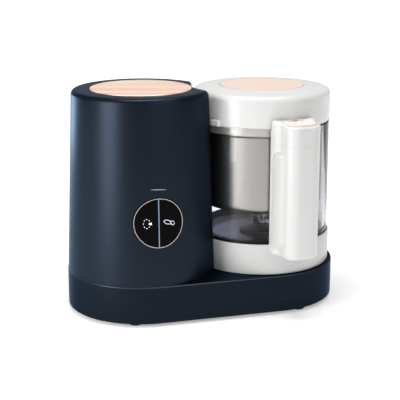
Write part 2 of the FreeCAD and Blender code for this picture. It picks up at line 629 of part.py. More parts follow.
def build_drive():
    """Motor, belt, pulleys, bushes and the drive dog under the bowl."""
    pieces = {}
    plate = disc(BRACKET_RADIUS, BASE_TOP, MOTOR_BOTTOM, TOWER_X)
    plate = plate.cut(disc(NEST_WALL_RADIUS + SLIDING, BASE_TOP - 1, MOTOR_BOTTOM + 1, BOWL_X))
    plate = plate.cut(disc(MOTOR_SHAFT_RADIUS + 5, BASE_TOP - 1, MOTOR_BOTTOM + 1, TOWER_X))
    for x, y in BRACKET_SCREW_PLACES:
        plate = plate.cut(disc(SCREW_RADIUS + RUNNING, BASE_TOP - 1, MOTOR_BOTTOM + 1, x, y))
    pieces["motor_bracket"] = plate
    pieces["bracket_screws"] = screws(BRACKET_SCREW_PLACES, DECK_UNDER - 1.6, 8)

    top = MOTOR_BOTTOM + MOTOR_HEIGHT
    inside = MOTOR_RADIUS - MOTOR_WALL
    neck = MOTOR_RADIUS - 4
    bearing = MOTOR_SHAFT_RADIUS + RUNNING
    can = turned([
        (bearing, MOTOR_BOTTOM), (MOTOR_RADIUS, MOTOR_BOTTOM, 1.5), (MOTOR_RADIUS, top - 14, 0.8),
        (neck, top - 14), (neck, top - 3, 3), (9, top - 3), (9, top, 1), (0, top), (0, top - MOTOR_WALL),
        (7, top - MOTOR_WALL), (7, top - 5), (neck - MOTOR_WALL, top - 5, 1.5), (neck - MOTOR_WALL, top - 16),
        (inside, top - 16), (inside, MOTOR_BOTTOM + MOTOR_WALL), (bearing + 4, MOTOR_BOTTOM + MOTOR_WALL),
        (bearing + 4, MOTOR_BOTTOM + 10), (bearing, MOTOR_BOTTOM + 10)], TOWER_X)
    for step in range(8):
        slot = block(neck - 5, MOTOR_RADIUS, -3, 3, top - 12, top - 7)
        slot.rotate(Vec(0, 0, 0), Vec(0, 0, 1), step * 45)
        slot.translate(Vec(TOWER_X, 0, 0))
        can = can.cut(slot)
    pieces["motor_can"] = can
    core_low = MOTOR_BOTTOM + 14
    core_high = core_low + MOTOR_CORE_HEIGHT
    stator = tube(inside, inside - STATOR_WALL, core_low, core_high, TOWER_X)
    for step in range(4):
        groove = disc(2.2, core_low - 1, core_high + 1, inside - STATOR_WALL)
        groove.rotate(Vec(0, 0, 0), Vec(0, 0, 1), step * 90 + 45)
        groove.translate(Vec(TOWER_X, 0, 0))
        stator = stator.cut(groove)
    pieces["motor_stator"] = stator
    armature_radius = inside - STATOR_WALL - MOTOR_AIR_GAP
    armature = tube(armature_radius, MOTOR_SHAFT_RADIUS, core_low, core_high, TOWER_X)
    for x, y in on_circle(TOWER_X, armature_radius, range(0, 360, 30)):
        armature = armature.cut(disc(1.6, core_low - 1, core_high + 1, x, y))
    commutator = tube(MOTOR_SHAFT_RADIUS + 5, MOTOR_SHAFT_RADIUS, core_high, core_high + 9, TOWER_X)
    pieces["motor_armature"] = joined([armature, commutator])
    pieces["motor_shaft"] = disc(MOTOR_SHAFT_RADIUS, PULLEY_BOTTOM - 1, core_high + 12, TOWER_X)
    pieces["motor_pulley"] = pulley(MOTOR_PULLEY_RADIUS, MOTOR_SHAFT_RADIUS, TOWER_X)
    pieces["driven_pulley"] = pulley(DRIVEN_PULLEY_RADIUS, DRIVE_SHAFT_RADIUS, BOWL_X)
    belt_low = PULLEY_BOTTOM + PULLEY_FLANGE + SLIDING
    belt_high = PULLEY_TOP - PULLEY_FLANGE - SLIDING
    inner = loop_prism(MOTOR_PULLEY_RADIUS + MOVING, DRIVEN_PULLEY_RADIUS + MOVING, belt_low, belt_high)
    outer = loop_prism(MOTOR_PULLEY_RADIUS + BELT_THICKNESS, DRIVEN_PULLEY_RADIUS + BELT_THICKNESS,
                       belt_low, belt_high)
    pieces["drive_belt"] = outer.cut(inner)

    bush = DRIVE_SHAFT_RADIUS + BUSH_WALL
    bore = DRIVE_SHAFT_RADIUS + RUNNING
    pieces["upper_bush"] = tube(bush, bore, DECK_UNDER - 4, BOSS_TOP, BOWL_X)
    pieces["lower_bush"] = tube(bush, bore, COVER_TOP, COVER_TOP + BEARING_HEIGHT, BOWL_X)
    pieces["drive_shaft"] = disc(DRIVE_SHAFT_RADIUS, COVER_TOP + 0.5, DOG_TOP - 1.5, BOWL_X)
    dog = star(0, DOG_BOTTOM, DOG_TOP).cut(disc(DRIVE_SHAFT_RADIUS, DOG_BOTTOM - 1, DOG_TOP - 1.5))
    dog.translate(Vec(BOWL_X, 0, 0))
    pieces["drive_dog"] = dog
    return pieces


def build_bowl():
    """Collar, glass jar, hub and seals of the lift-off bowl."""
    pieces = {}
    sleeve = BOSS_RADIUS + SLIDING * 2
    collar = turned([
        (COLLAR_RADIUS, COLLAR_BOTTOM, 1.0), (COLLAR_RADIUS, COLLAR_TOP, 1.2),
        (GLASS_RADIUS + SEAM, COLLAR_TOP, 0.3), (GLASS_RADIUS + SEAM, FLOOR_TOP),
        (HUB_RADIUS, FLOOR_TOP), (HUB_RADIUS, FLOOR_UNDER), (sleeve, FLOOR_UNDER),
        (sleeve, COLLAR_BOTTOM + 1.5), (sleeve + 2.4, COLLAR_BOTTOM + 1.5, 0.6), (sleeve + 2.4, FLOOR_UNDER),
        (COLLAR_RADIUS - PLASTIC_WALL, FLOOR_UNDER), (COLLAR_RADIUS - PLASTIC_WALL, COLLAR_BOTTOM)], BOWL_X)
    ribs = []
    for step in range(6):
        rib = block(sleeve + 2, COLLAR_RADIUS - 1, -0.9, 0.9, COLLAR_BOTTOM + 6, FLOOR_UNDER + 0.5)
        rib.rotate(Vec(0, 0, 0), Vec(0, 0, 1), step * 60 + 30)
        rib.translate(Vec(BOWL_X, 0, 0))
        ribs.append(rib)
    pieces["bowl_collar"] = joined([collar] + ribs)
    pieces["jar_gasket"] = tube(GLASS_RADIUS - 10, GLASS_RADIUS - 20, FLOOR_TOP, GLASS_BOTTOM, BOWL_X)
    hole = HUB_RADIUS + SEAM
    pieces["glass_jar"] = turned([
        (hole, GLASS_BOTTOM), (GLASS_RADIUS, GLASS_BOTTOM, 8), (GLASS_RADIUS, GLASS_TOP, 1.7),
        (GLASS_INSIDE, GLASS_TOP, 1.7), (GLASS_INSIDE, GLASS_FLOOR_TOP, 11), (hole, GLASS_FLOOR_TOP)], BOWL_X)
    flange_low = GLASS_FLOOR_TOP + GASKET
    bush = BLADE_SHAFT_RADIUS + BUSH_WALL
    pieces["hub_seal"] = tube(HUB_FLANGE_RADIUS - 1, HUB_RADIUS, GLASS_FLOOR_TOP, flange_low, BOWL_X)
    pieces["blade_hub"] = turned([
        (bush, HUB_BOTTOM), (HUB_RADIUS, HUB_BOTTOM), (HUB_RADIUS, flange_low),
        (HUB_FLANGE_RADIUS, flange_low, 0.4), (HUB_FLANGE_RADIUS, flange_low + 1.4, 1.0),
        (bush + 3, flange_low + 4.4, 2), (bush, flange_low + 4.4)], BOWL_X)
    pieces["hub_nut"] = tube(HUB_RADIUS + 4.2, HUB_RADIUS, HUB_BOTTOM - 0.5, FLOOR_UNDER, BOWL_X)
    pieces["blade_bush"] = tube(bush, BLADE_SHAFT_RADIUS + RUNNING, HUB_BOTTOM, flange_low + 4.4, BOWL_X)
    return pieces


def blade_wing(tip_rise, turn):
    """One curved blade with a swept point and a ground edge, bent up or down."""
    outline = [
        (2, -BLADE_WIDTH * 0.42), (BLADE_LENGTH * 0.6, -BLADE_WIDTH * 0.46, 6),
        (BLADE_LENGTH, BLADE_WIDTH * 0.1, 1.5),
        (BLADE_LENGTH * 0.8, BLADE_WIDTH * 0.5, 5), (2, BLADE_WIDTH * 0.42)]
    wing = prism(outline, -BLADE_THICKNESS / 2, BLADE_THICKNESS / 2)
    grind = block(0, BLADE_LENGTH * 2, -BLADE_WIDTH, -BLADE_WIDTH * 0.3, 0, 6)
    grind.rotate(Vec(0, -BLADE_WIDTH * 0.3, BLADE_THICKNESS / 2), Vec(1, 0, 0), 24)
    wing = wing.cut(grind)
    wing.rotate(Vec(0, 0, 0), Vec(0, 1, 0), -tip_rise)
    wing.rotate(Vec(0, 0, 0), Vec(0, 0, 1), turn)
    return wing


def build_blade():
    """Blade shaft, four bent blades on a domed hub, and the lower coupling cup."""
    pieces = {}
    shaft_top = BLADE_LEVEL + 14
    pieces["blade_shaft"] = disc(BLADE_SHAFT_RADIUS, CUP_ROOF, shaft_top, BOWL_X)
    hub = turned([
        (BLADE_SHAFT_RADIUS, BLADE_LEVEL), (8, BLADE_LEVEL, 1), (8, BLADE_LEVEL + 9, 1.5),
        (5, shaft_top + 1, 2.5),
        (0, shaft_top + 1), (0, shaft_top), (BLADE_SHAFT_RADIUS, shaft_top)], 0)
    wings = []
    for index, rise in enumerate((24, 8, 24, 8)):
        wing = blade_wing(rise, index * 90)
        wing.translate(Vec(0, 0, BLADE_LEVEL + (7 if index % 2 == 0 else 3)))
        wings.append(wing.cut(disc(BLADE_SHAFT_RADIUS, BLADE_LEVEL - 5, shaft_top + 9)))
    blades = joined([hub] + wings)
    blades.translate(Vec(BOWL_X, 0, 0))
    pieces["blade_set"] = blades
    cup = turned([
        (0, CUP_BOTTOM), (CUP_RADIUS, CUP_BOTTOM, 0.8), (CUP_RADIUS, CUP_TOP, 0.8), (0, CUP_TOP)], 0)
    cup = cup.cut(star(SLIDING, CUP_BOTTOM - 1, CUP_ROOF))
    cup = cup.cut(disc(BLADE_SHAFT_RADIUS, CUP_ROOF - 1, CUP_TOP + 1))
    cup.translate(Vec(BOWL_X, 0, 0))
    pieces["coupling_cup"] = cup
    return pieces


def build_basket():
    """Drawn steel steam basket with a stepped rim and a pierced floor."""
    step_top = GLASS_TOP - BASKET_RIM_DEPTH
    inside = BASKET_RADIUS - STEEL
    basket = turned([
        (0, BASKET_BOTTOM), (BASKET_RADIUS, BASKET_BOTTOM, 8), (BASKET_RADIUS, step_top - 2, 1.2),
        (BASKET_RIM_RADIUS, step_top, 1.2), (BASKET_RIM_RADIUS, GLASS_TOP), (GLASS_RADIUS - 0.7, GLASS_TOP),
        (GLASS_RADIUS - 0.7, GLASS_TOP + STEEL), (BASKET_RIM_RADIUS - STEEL, GLASS_TOP + STEEL, 0.3),
        (BASKET_RIM_RADIUS - STEEL, step_top + 0.3, 1.2), (inside, step_top - 1.7, 1.2),
        (inside, BASKET_BOTTOM + STEEL, 7.2), (0, BASKET_BOTTOM + STEEL)], BOWL_X)
    holes = []
    for ring in range(5):
        count = max(1, ring * 6)
        turns = [360 * step / count for step in range(count)]
        for x, y in on_circle(BOWL_X, ring * BASKET_RADIUS * 0.19, turns):
            holes.append(disc(BASKET_HOLE_RADIUS, BASKET_BOTTOM - 1, BASKET_BOTTOM + 2, x, y))
    return {"steam_basket": basket.cut(Part.makeCompound(holes))}


def build_lid():
    """Domed lid with its inset disc, plug, seal, steam inlet and diffuser."""
    pieces = {}
    rim_top = LID_TOP - LID_DOME
    plug_bottom = LID_BOTTOM - LID_PLUG_DEPTH
    under = LID_TOP - LID_DISC_THICKNESS - LID_WALL
    seat = LID_DISC_RADIUS + 0.2
    shell = turned([
        (LID_RADIUS, LID_BOTTOM, 0.8), (LID_RADIUS, rim_top, LID_EDGE_ROUND), (seat, LID_TOP, 0.3),
        (seat, LID_TOP - LID_DISC_THICKNESS), (0, LID_TOP - LID_DISC_THICKNESS), (0, under),
        (LID_PLUG_RADIUS - LID_WALL, under - 0.4), (LID_PLUG_RADIUS - LID_WALL, plug_bottom),
        (LID_PLUG_RADIUS, plug_bottom), (LID_PLUG_RADIUS, under - 0.8),
        (LID_RADIUS - LID_WALL, under - 1.6, 2.0),
        (LID_RADIUS - LID_WALL, LID_BOTTOM)], BOWL_X)
    lugs = []
    key = math.degrees(math.asin((TONGUE_HALF + SLIDING) / LID_RADIUS))
    front = 270 + HANDLE_ANGLE
    lug_places = [(180 + LUG_START, LUG_SPAN, LUG_REACH), (front + key, KEY_LUG_SPAN, KEY_LUG_REACH),
                  (front - key - KEY_LUG_SPAN, KEY_LUG_SPAN, KEY_LUG_REACH)]
    for start, span, reach in lug_places:
        lug = Part.makeCylinder(LID_RADIUS + reach, LUG_HEIGHT, Vec(0, 0, LID_BOTTOM), Vec(0, 0, 1), span)
        lug = lug.cut(disc(LID_RADIUS - LID_WALL + 0.2, LID_BOTTOM - 1, LID_BOTTOM + LUG_HEIGHT + 1))
        outside = LID_RADIUS + reach - 0.01
        outer_edges = [edge for edge in lug.Edges
                       if all(math.hypot(vertex.X, vertex.Y) > outside for vertex in edge.Vertexes)]
        lug = lug.makeFillet(reach * 0.3, outer_edges)
        lug.rotate(Vec(0, 0, 0), Vec(0, 0, 1), start)
        lug.translate(Vec(BOWL_X, 0, 0))
        lugs.append(lug)
    shell = joined([shell] + lugs)
    port = STEAM_TUBE_RADIUS + 1.0
    shell = shell.cut(rod_x(port, BOWL_X - LID_RADIUS - 4, BOWL_X - LID_PLUG_RADIUS + 6, 0, STEAM_LEVEL))
    pieces["lid_shell"] = shell
    pieces["lid_disc"] = turned([
        (0, LID_TOP - LID_DISC_THICKNESS), (LID_DISC_RADIUS, LID_TOP - LID_DISC_THICKNESS),
        (LID_DISC_RADIUS, LID_TOP, 0.4), (0, LID_TOP + 0.2)], BOWL_X)
    inlet = rod_x(port, BOWL_X - NEST_RADIUS + 1.0, BOWL_X - LID_PLUG_RADIUS + 4, 0, STEAM_LEVEL)
    stop_radius = port + 1.8
    stop_x = BOWL_X - math.sqrt((LID_PLUG_RADIUS - LID_WALL) ** 2 - stop_radius ** 2)
    stop = rod_x(stop_radius, stop_x, stop_x + 1.2, 0, STEAM_LEVEL)
    inlet = joined([inlet, stop])
    bore = rod_x(STEAM_TUBE_RADIUS - STEAM_TUBE_WALL, BOWL_X - NEST_RADIUS, BOWL_X - LID_PLUG_RADIUS + 6,
                 0, STEAM_LEVEL)
    pieces["lid_inlet"] = inlet.cut(bore)
    lip = BASKET_RIM_RADIUS - STEEL - MOVING
    pieces["lid_seal"] = turned([
        (LID_PLUG_RADIUS, plug_bottom + 1), (lip, plug_bottom + 1.8, 0.4), (lip, plug_bottom + 2.8, 0.4),
        (LID_PLUG_RADIUS + 0.9, plug_bottom + 3.4), (lip, plug_bottom + 4.4, 0.3),
        (lip, plug_bottom + 5.2, 0.3), (LID_PLUG_RADIUS, plug_bottom + 6)], BOWL_X)
    diffuser = tube(LID_PLUG_RADIUS - LID_WALL - 0.1, 0.5, plug_bottom + 1.5, plug_bottom + 3.5, BOWL_X)
    for share, count in ((0.3, 6), (0.58, 12), (0.82, 16)):
        turns = [360 * step / count for step in range(count)]
        for x, y in on_circle(BOWL_X, LID_PLUG_RADIUS * share, turns):
            diffuser = diffuser.cut(disc(2.4, plug_bottom, plug_bottom + 5, x, y))
    pieces["lid_diffuser"] = diffuser
    return pieces


def on_handle(shape):
    """Turn a shape made at the bowl's front to the handle's place."""
    placed = shape.copy()
    placed.rotate(Vec(0, 0, 0), Vec(0, 0, 1), HANDLE_ANGLE)
    placed.translate(Vec(BOWL_X, 0, 0))
    return placed


def handle_prism(low, high):
    """Plan of the handle: a plate along the glass that narrows into the grip."""
    plate = HANDLE_PLATE_HALF
    grip = HANDLE_GRIP_HALF
    back = COLLAR_RADIUS - 7
    flange = -COLLAR_RADIUS - HANDLE_FLANGE
    waist = -COLLAR_RADIUS - HANDLE_WAIST
    return prism([
        (-plate, -back), (-plate, flange, PLATE_ROUND), (-grip, waist, WAIST_ROUND),
        (-grip, -HANDLE_REACH, GRIP_ROUND), (grip, -HANDLE_REACH, GRIP_ROUND), (grip, waist, WAIST_ROUND),
        (plate, flange, PLATE_ROUND), (plate, -back)], low, high)


def thumb_prism(growth, low, high):
    """Rounded pad of the thumb button, grown by a clearance."""
    half = THUMB_HALF + growth
    near = THUMB_NEAR + growth
    far = THUMB_FAR - growth
    return prism([
        (-half, far, THUMB_FRONT_ROUND), (half, far, THUMB_FRONT_ROUND), (half, near, THUMB_BACK_ROUND),
        (-half, near, THUMB_BACK_ROUND)], low, high)


def build_handle():
    """Handle grip with finger scoops, its head, and the sprung thumb button."""
    pieces = {}
    hug = disc(LID_RADIUS + SEAM * 2, HANDLE_BOTTOM - CUT_OVER, HANDLE_TOP + CUT_OVER)
    low_hug = disc(COLLAR_RADIUS, HANDLE_BOTTOM - CUT_OVER, COLLAR_TOP)
    grip = handle_prism(HANDLE_BOTTOM, HANDLE_SEAM)
    grip = grip.makeFillet(HANDLE_FOOT_ROUND, level_edges(grip, HANDLE_BOTTOM))
    scoop_y = -COLLAR_RADIUS - HANDLE_WAIST - 0.9
    for side in (-1, 1):
        x = side * (HANDLE_PLATE_HALF + 0.5)
        scoop = disc(SCOOP_RADIUS, SCOOP_BOTTOM + SCOOP_RADIUS, SCOOP_TOP - SCOOP_RADIUS, x, scoop_y)
        for level in (SCOOP_BOTTOM + SCOOP_RADIUS, SCOOP_TOP - SCOOP_RADIUS):
            scoop = scoop.fuse(Part.makeSphere(SCOOP_RADIUS, Vec(x, scoop_y, level)))
        grip = grip.cut(scoop)
    pieces["handle_grip"] = on_handle(grip.cut(hug).cut(low_hug))

    head = handle_prism(HANDLE_SEAM + HEAD_SEAM, HANDLE_TOP + CUT_OVER)
    fall = math.degrees(math.atan2(HANDLE_TOP_FALL, HANDLE_REACH - COLLAR_RADIUS))
    above = block(-HANDLE_REACH, HANDLE_REACH, -HANDLE_REACH - CUT_OVER, 0, 0, CUT_OVER * 2)
    above.rotate(Vec(0, 0, 0), Vec(1, 0, 0), fall)
    above.translate(Vec(0, 0, HANDLE_TOP + COLLAR_RADIUS * math.tan(math.radians(fall))))
    head = head.cut(above)
    top_edges = []
    for edge in head.Edges:
        if edge.BoundBox.ZMin > HANDLE_TOP - HANDLE_TOP_FALL - 3 and edge.BoundBox.YMin < -COLLAR_RADIUS - 3:
            top_edges.append(edge)
    head = head.makeFillet(HANDLE_HEAD_ROUND, top_edges)
    pocket_floor = HANDLE_TOP - THUMB_WELL_DEPTH
    head = head.cut(thumb_prism(SLIDING, pocket_floor, HANDLE_TOP + CUT_OVER))
    tongue_low = LID_BOTTOM + 0.6
    tongue_root = THUMB_NEAR - 5
    slot = block(-TONGUE_HALF - SLIDING, TONGUE_HALF + SLIDING, tongue_root, -COLLAR_RADIUS + 8,
                 tongue_low - THUMB_TRAVEL - SLIDING, HANDLE_TOP + CUT_OVER)
    head = head.cut(slot).cut(hug)
    head = head.cut(disc(LID_RADIUS + KEY_LUG_REACH + 0.7, LID_BOTTOM - 0.6, HANDLE_TOP + CUT_OVER))
    pieces["handle_head"] = on_handle(head)

    button_low = pocket_floor + THUMB_TRAVEL + 0.9
    button = thumb_prism(0, button_low, HANDLE_TOP + CUT_OVER)
    lifted = above.copy()
    lifted.translate(Vec(0, 0, THUMB_PROUD))
    middle = (THUMB_NEAR + THUMB_FAR) / 2
    pad_level = HANDLE_TOP + THUMB_PROUD + (COLLAR_RADIUS + middle) * math.tan(math.radians(fall))
    dish_middle = Vec(0, middle, pad_level - THUMB_DISH + THUMB_DISH_RADIUS)
    button = button.cut(lifted).cut(Part.makeSphere(THUMB_DISH_RADIUS, dish_middle))
    rim = [edge for edge in button.Edges if edge.BoundBox.ZMin > HANDLE_TOP - HANDLE_TOP_FALL - 2]
    button = button.makeFillet(THUMB_ROUND, rim)
    tongue_high = LID_BOTTOM + LUG_HEIGHT - 0.4
    tongue = block(-TONGUE_HALF, TONGUE_HALF, tongue_root, -LID_RADIUS - 0.5, tongue_low, tongue_high)
    button = joined([button, tongue])
    spring_top = button_low + 4
    well = disc(SPRING_RADIUS + 0.5, button_low - 1, spring_top + THUMB_TRAVEL + SLIDING, 0, middle)
    pieces["thumb_button"] = on_handle(button.cut(well))
    spring = disc(SPRING_RADIUS, pocket_floor, spring_top, 0, middle)
    pieces["thumb_spring"] = on_handle(spring.makeFillet(0.8, level_edges(spring, spring_top)))
    return pieces


def main():
    """Build every piece and write one file per piece."""
    pieces = {}
    for build in (build_base, build_tower, build_cap, build_panel, build_drive, build_bowl, build_blade,
                  build_basket, build_lid, build_handle):
        pieces.update(build())
    for name, shape in pieces.items():
        shape.exportStep("parts/" + name + ".step")


if __name__ == "__main__":
    main()
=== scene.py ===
"""Looks of a countertop steamer and blender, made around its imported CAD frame.

All lengths are in metres, in the frame of the CAD model: +Z up, the tower at -X,
the bowl at +X and the controls at -Y.
"""

import logging
import math
from dataclasses import dataclass, replace
from enum import Enum
from typing import Any, ClassVar, Mapping, Sequence, Union

import bmesh
import bpy
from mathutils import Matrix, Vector


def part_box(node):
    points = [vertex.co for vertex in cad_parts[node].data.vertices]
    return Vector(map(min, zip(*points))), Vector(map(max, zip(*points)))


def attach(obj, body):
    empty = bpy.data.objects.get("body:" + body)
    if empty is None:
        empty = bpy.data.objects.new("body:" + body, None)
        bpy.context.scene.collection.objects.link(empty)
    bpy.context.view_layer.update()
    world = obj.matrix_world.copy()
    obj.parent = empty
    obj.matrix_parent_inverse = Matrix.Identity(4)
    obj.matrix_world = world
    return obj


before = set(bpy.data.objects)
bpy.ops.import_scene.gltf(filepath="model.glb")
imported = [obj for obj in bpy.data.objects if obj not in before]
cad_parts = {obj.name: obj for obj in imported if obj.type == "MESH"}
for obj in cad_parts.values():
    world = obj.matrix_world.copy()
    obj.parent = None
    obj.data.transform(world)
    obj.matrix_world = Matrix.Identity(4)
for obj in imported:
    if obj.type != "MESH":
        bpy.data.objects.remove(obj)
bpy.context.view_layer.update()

LOG = logging.getLogger("steamer")
MM = 0.001

Colour = tuple[float, float, float]
Point2 = tuple[float, float]
Point3 = tuple[float, float, float]
Stops = Sequence[tuple[float, Colour]]

WHITE: Colour = (1.0, 1.0, 1.0)


def grey(level: float) -> Colour:
    """A neutral colour of one level."""
    return (level, level, level)


def middle_of(node: str) -> Vector:
    """Middle of a CAD node's box."""
    low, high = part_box(node)
    return (Vector(low) + Vector(high)) / 2.0


# Places that the finishes and the signs refer to, read from the frame.
PANEL_MIDDLE = middle_of("control_bezel")
TOWER_X = PANEL_MIDDLE.x
BOWL_X = middle_of("bowl_collar").x
TOWER_LOW, TOWER_HIGH = (Vector(corner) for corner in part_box("tower_shell"))

# Values that several finishes share.
# Turn of the view's level direction from X: the painted reflection bands on the tank cap's disc and the
# glass's painted shade and painted reflection are laid along it.
SLANT = math.radians(15.43)
SLANT_COS = math.cos(SLANT)
SLANT_SIN = math.sin(SLANT)
NOISE_MIDDLE = 0.5
DRIFT_DETAIL = 3.0
GRAIN_DETAIL = 2.0
COAT_ROUGHNESS = 0.06
SUBSURFACE_DEPTH = 2.0 * MM


class Signal:
    """A shader value that takes Python's operators, each of which adds a Math node."""

    def __init__(self, sheet: "ShaderSheet", socket: bpy.types.NodeSocket) -> None:
        """Wrap one output socket of a node tree.

        Args:
            sheet: The node tree that owns the socket.
            socket: The output socket that carries the value.
        """
        self.sheet = sheet
        self.socket = socket

    def math(self, operation: str, first: "Term", second: "Term" = 0.0) -> "Signal":
        """Add one Math node.

        Args:
            operation: Blender's name of the operation.
            first: The first operand.
            second: The second operand, where the operation has one.

        Returns:
            The node's value.
        """
        node = self.sheet.add("ShaderNodeMath", {"operation": operation}, {0: first, 1: second})
        return Signal(self.sheet, node.outputs[0])

    def __add__(self, other: "Term") -> "Signal":
        """Sum."""
        return self.math("ADD", self, other)

    def __radd__(self, other: "Term") -> "Signal":
        """Sum with a number on the left."""
        return self.math("ADD", other, self)

    def __sub__(self, other: "Term") -> "Signal":
        """Difference."""
        return self.math("SUBTRACT", self, other)

    def __rsub__(self, other: "Term") -> "Signal":
        """Difference from a number on the left."""
        return self.math("SUBTRACT", other, self)

    def __mul__(self, other: "Term") -> "Signal":
        """Product."""
        return self.math("MULTIPLY", self, other)

    def __rmul__(self, other: "Term") -> "Signal":
        """Product with a number on the left."""
        return self.math("MULTIPLY", other, self)

    def __truediv__(self, other: "Term") -> "Signal":
        """Quotient."""
        return self.math("DIVIDE", self, other)

    def __rtruediv__(self, other: "Term") -> "Signal":
        """Quotient of a number on the left."""
        return self.math("DIVIDE", other, self)

    def __pow__(self, other: "Term") -> "Signal":
        """Power."""
        return self.math("POWER", self, other)

    def __rpow__(self, other: "Term") -> "Signal":
        """Power of a number on the left."""
        return self.math("POWER", other, self)

    def __abs__(self) -> "Signal":
        """Size without its sign."""
        return self.math("ABSOLUTE", self)

    def turn_from(self, across: "Signal") -> "Signal":
        """Angle of the point (across, self) round the origin."""
        return self.math("ARCTAN2", self, across)

    def hypot(self, other: "Signal") -> "Signal":
        """Length of the flat vector (self, other)."""
        return self.math("SQRT", self * self + other * other)

    def clipped(self) -> "Signal":
        """The value held between 0 and 1."""
        return self.math("MINIMUM", self.math("MAXIMUM", self, 0.0), 1.0)


Term = Union[Signal, float]
Feed = Union[Signal, bpy.types.NodeSocket, float, Sequence[float]]


class ShaderSheet:
    """The node tree of a material or a world, with the building steps that finishes use."""

    def __init__(self, owner: Union[bpy.types.Material, bpy.types.World]) -> None:
        """Empty the node tree of a new material or world.

        Args:
            owner: The material or world.
        """
        self.owner = owner
        owner.use_nodes = True
        self.tree = owner.node_tree
        self.tree.nodes.clear()

    def add(self, kind: str, settings: Mapping[str, Any], inputs: Mapping[Any, Feed]) -> bpy.types.Node:
        """Add a node of any type.

        Args:
            kind: The node's type name.
            settings: Properties to set first; "stops" gives a ramp's positions and colours.
            inputs: Values or links by socket name or number.

        Returns:
            The new node.
        """
        node = self.tree.nodes.new(kind)
        for key, value in settings.items():
            if key == "stops":
                self._set_stops(node.color_ramp.elements, value)
            else:
                setattr(node, key, value)
        for key, value in inputs.items():
            if isinstance(value, Signal):
                self.tree.links.new(value.socket, node.inputs[key])
            elif isinstance(value, bpy.types.NodeSocket):
                self.tree.links.new(value, node.inputs[key])
            else:
                node.inputs[key].default_value = value
        return node

    @staticmethod
    def _set_stops(elements: bpy.types.ColorRampElements, stops: Stops) -> None:
        """Give a colour ramp its stops.

        Args:
            elements: The ramp's elements.
            stops: The position and colour of each stop.
        """
        while len(elements) < len(stops):
            elements.new(1.0)
        for element, (position, colour) in zip(elements, stops):
            element.position = position
            element.color = (*colour, 1.0)

    def place(self) -> bpy.types.NodeSocket:
        """Position of the shaded point in the CAD frame."""
        return self.add("ShaderNodeTexCoord", {}, {}).outputs["Object"]

    def split(self, vector: bpy.types.NodeSocket) -> tuple[Signal, Signal, Signal]:
        """The three parts of a vector as signals."""
        parts = self.add("ShaderNodeSeparateXYZ", {}, {0: vector}).outputs
        return Signal(self, parts[0]), Signal(self, parts[1]), Signal(self, parts[2])

    def axes(self) -> tuple[Signal, Signal, Signal]:
        """The three coordinates of the shaded point as signals."""
        return self.split(self.place())

    def vector(self, x: Term, y: Term, z: Term) -> bpy.types.NodeSocket:
        """A vector from three signals or numbers."""
        return self.add("ShaderNodeCombineXYZ", {}, {0: x, 1: y, 2: z}).outputs[0]

    def noise(self, place: bpy.types.NodeSocket, per_metre: float, detail: float) -> Signal:
        """Add soft noise from 0 to 1.

        Args:
            place: The vector that it is sampled at.
            per_metre: Its scale.
            detail: How many finer layers it has.

        Returns:
            The noise value.
        """
        inputs = {"Vector": place, "Scale": per_metre, "Detail": detail}
        return Signal(self, self.add("ShaderNodeTexNoise", {}, inputs).outputs["Fac"])

    def ramp(self, signal: Signal, stops: Stops) -> bpy.types.NodeSocket:
        """A colour ramp over a signal."""
        return self.add("ShaderNodeValToRGB", {"stops": stops}, {0: signal}).outputs["Color"]

    def mix(self, share: Signal, first: Feed, second: Feed) -> bpy.types.NodeSocket:
        """Mix two colours.

        Args:
            share: 0 gives the first colour and 1 the second.
            first: The first colour or its socket.
            second: The second colour or its socket.

        Returns:
            The mixed colour.
        """
        ends = [(*end, 1.0) if isinstance(end, tuple) else end for end in (first, second)]
        node = self.add("ShaderNodeMix", {"data_type": "RGBA"}, {0: share, 6: ends[0], 7: ends[1]})
        return node.outputs[2]

    def bump(self, height: Signal, depth: float) -> bpy.types.NodeSocket:
        """A normal that follows a height of the given depth in metres."""
        inputs = {"Strength": 1.0, "Distance": depth, "Height": height}
        return self.add("ShaderNodeBump", {}, inputs).outputs[0]

    def close(self, inputs: Mapping[str, Feed]) -> bpy.types.Material:
        """Add the Principled shader and the output of a material.

        Args:
            inputs: The shader's sockets by name.

        Returns:
            The finished material.
        """
        shader = self.add("ShaderNodeBsdfPrincipled", {}, inputs)
        self.add("ShaderNodeOutputMaterial", {}, {"Surface": shader.outputs[0]})
        return self.owner


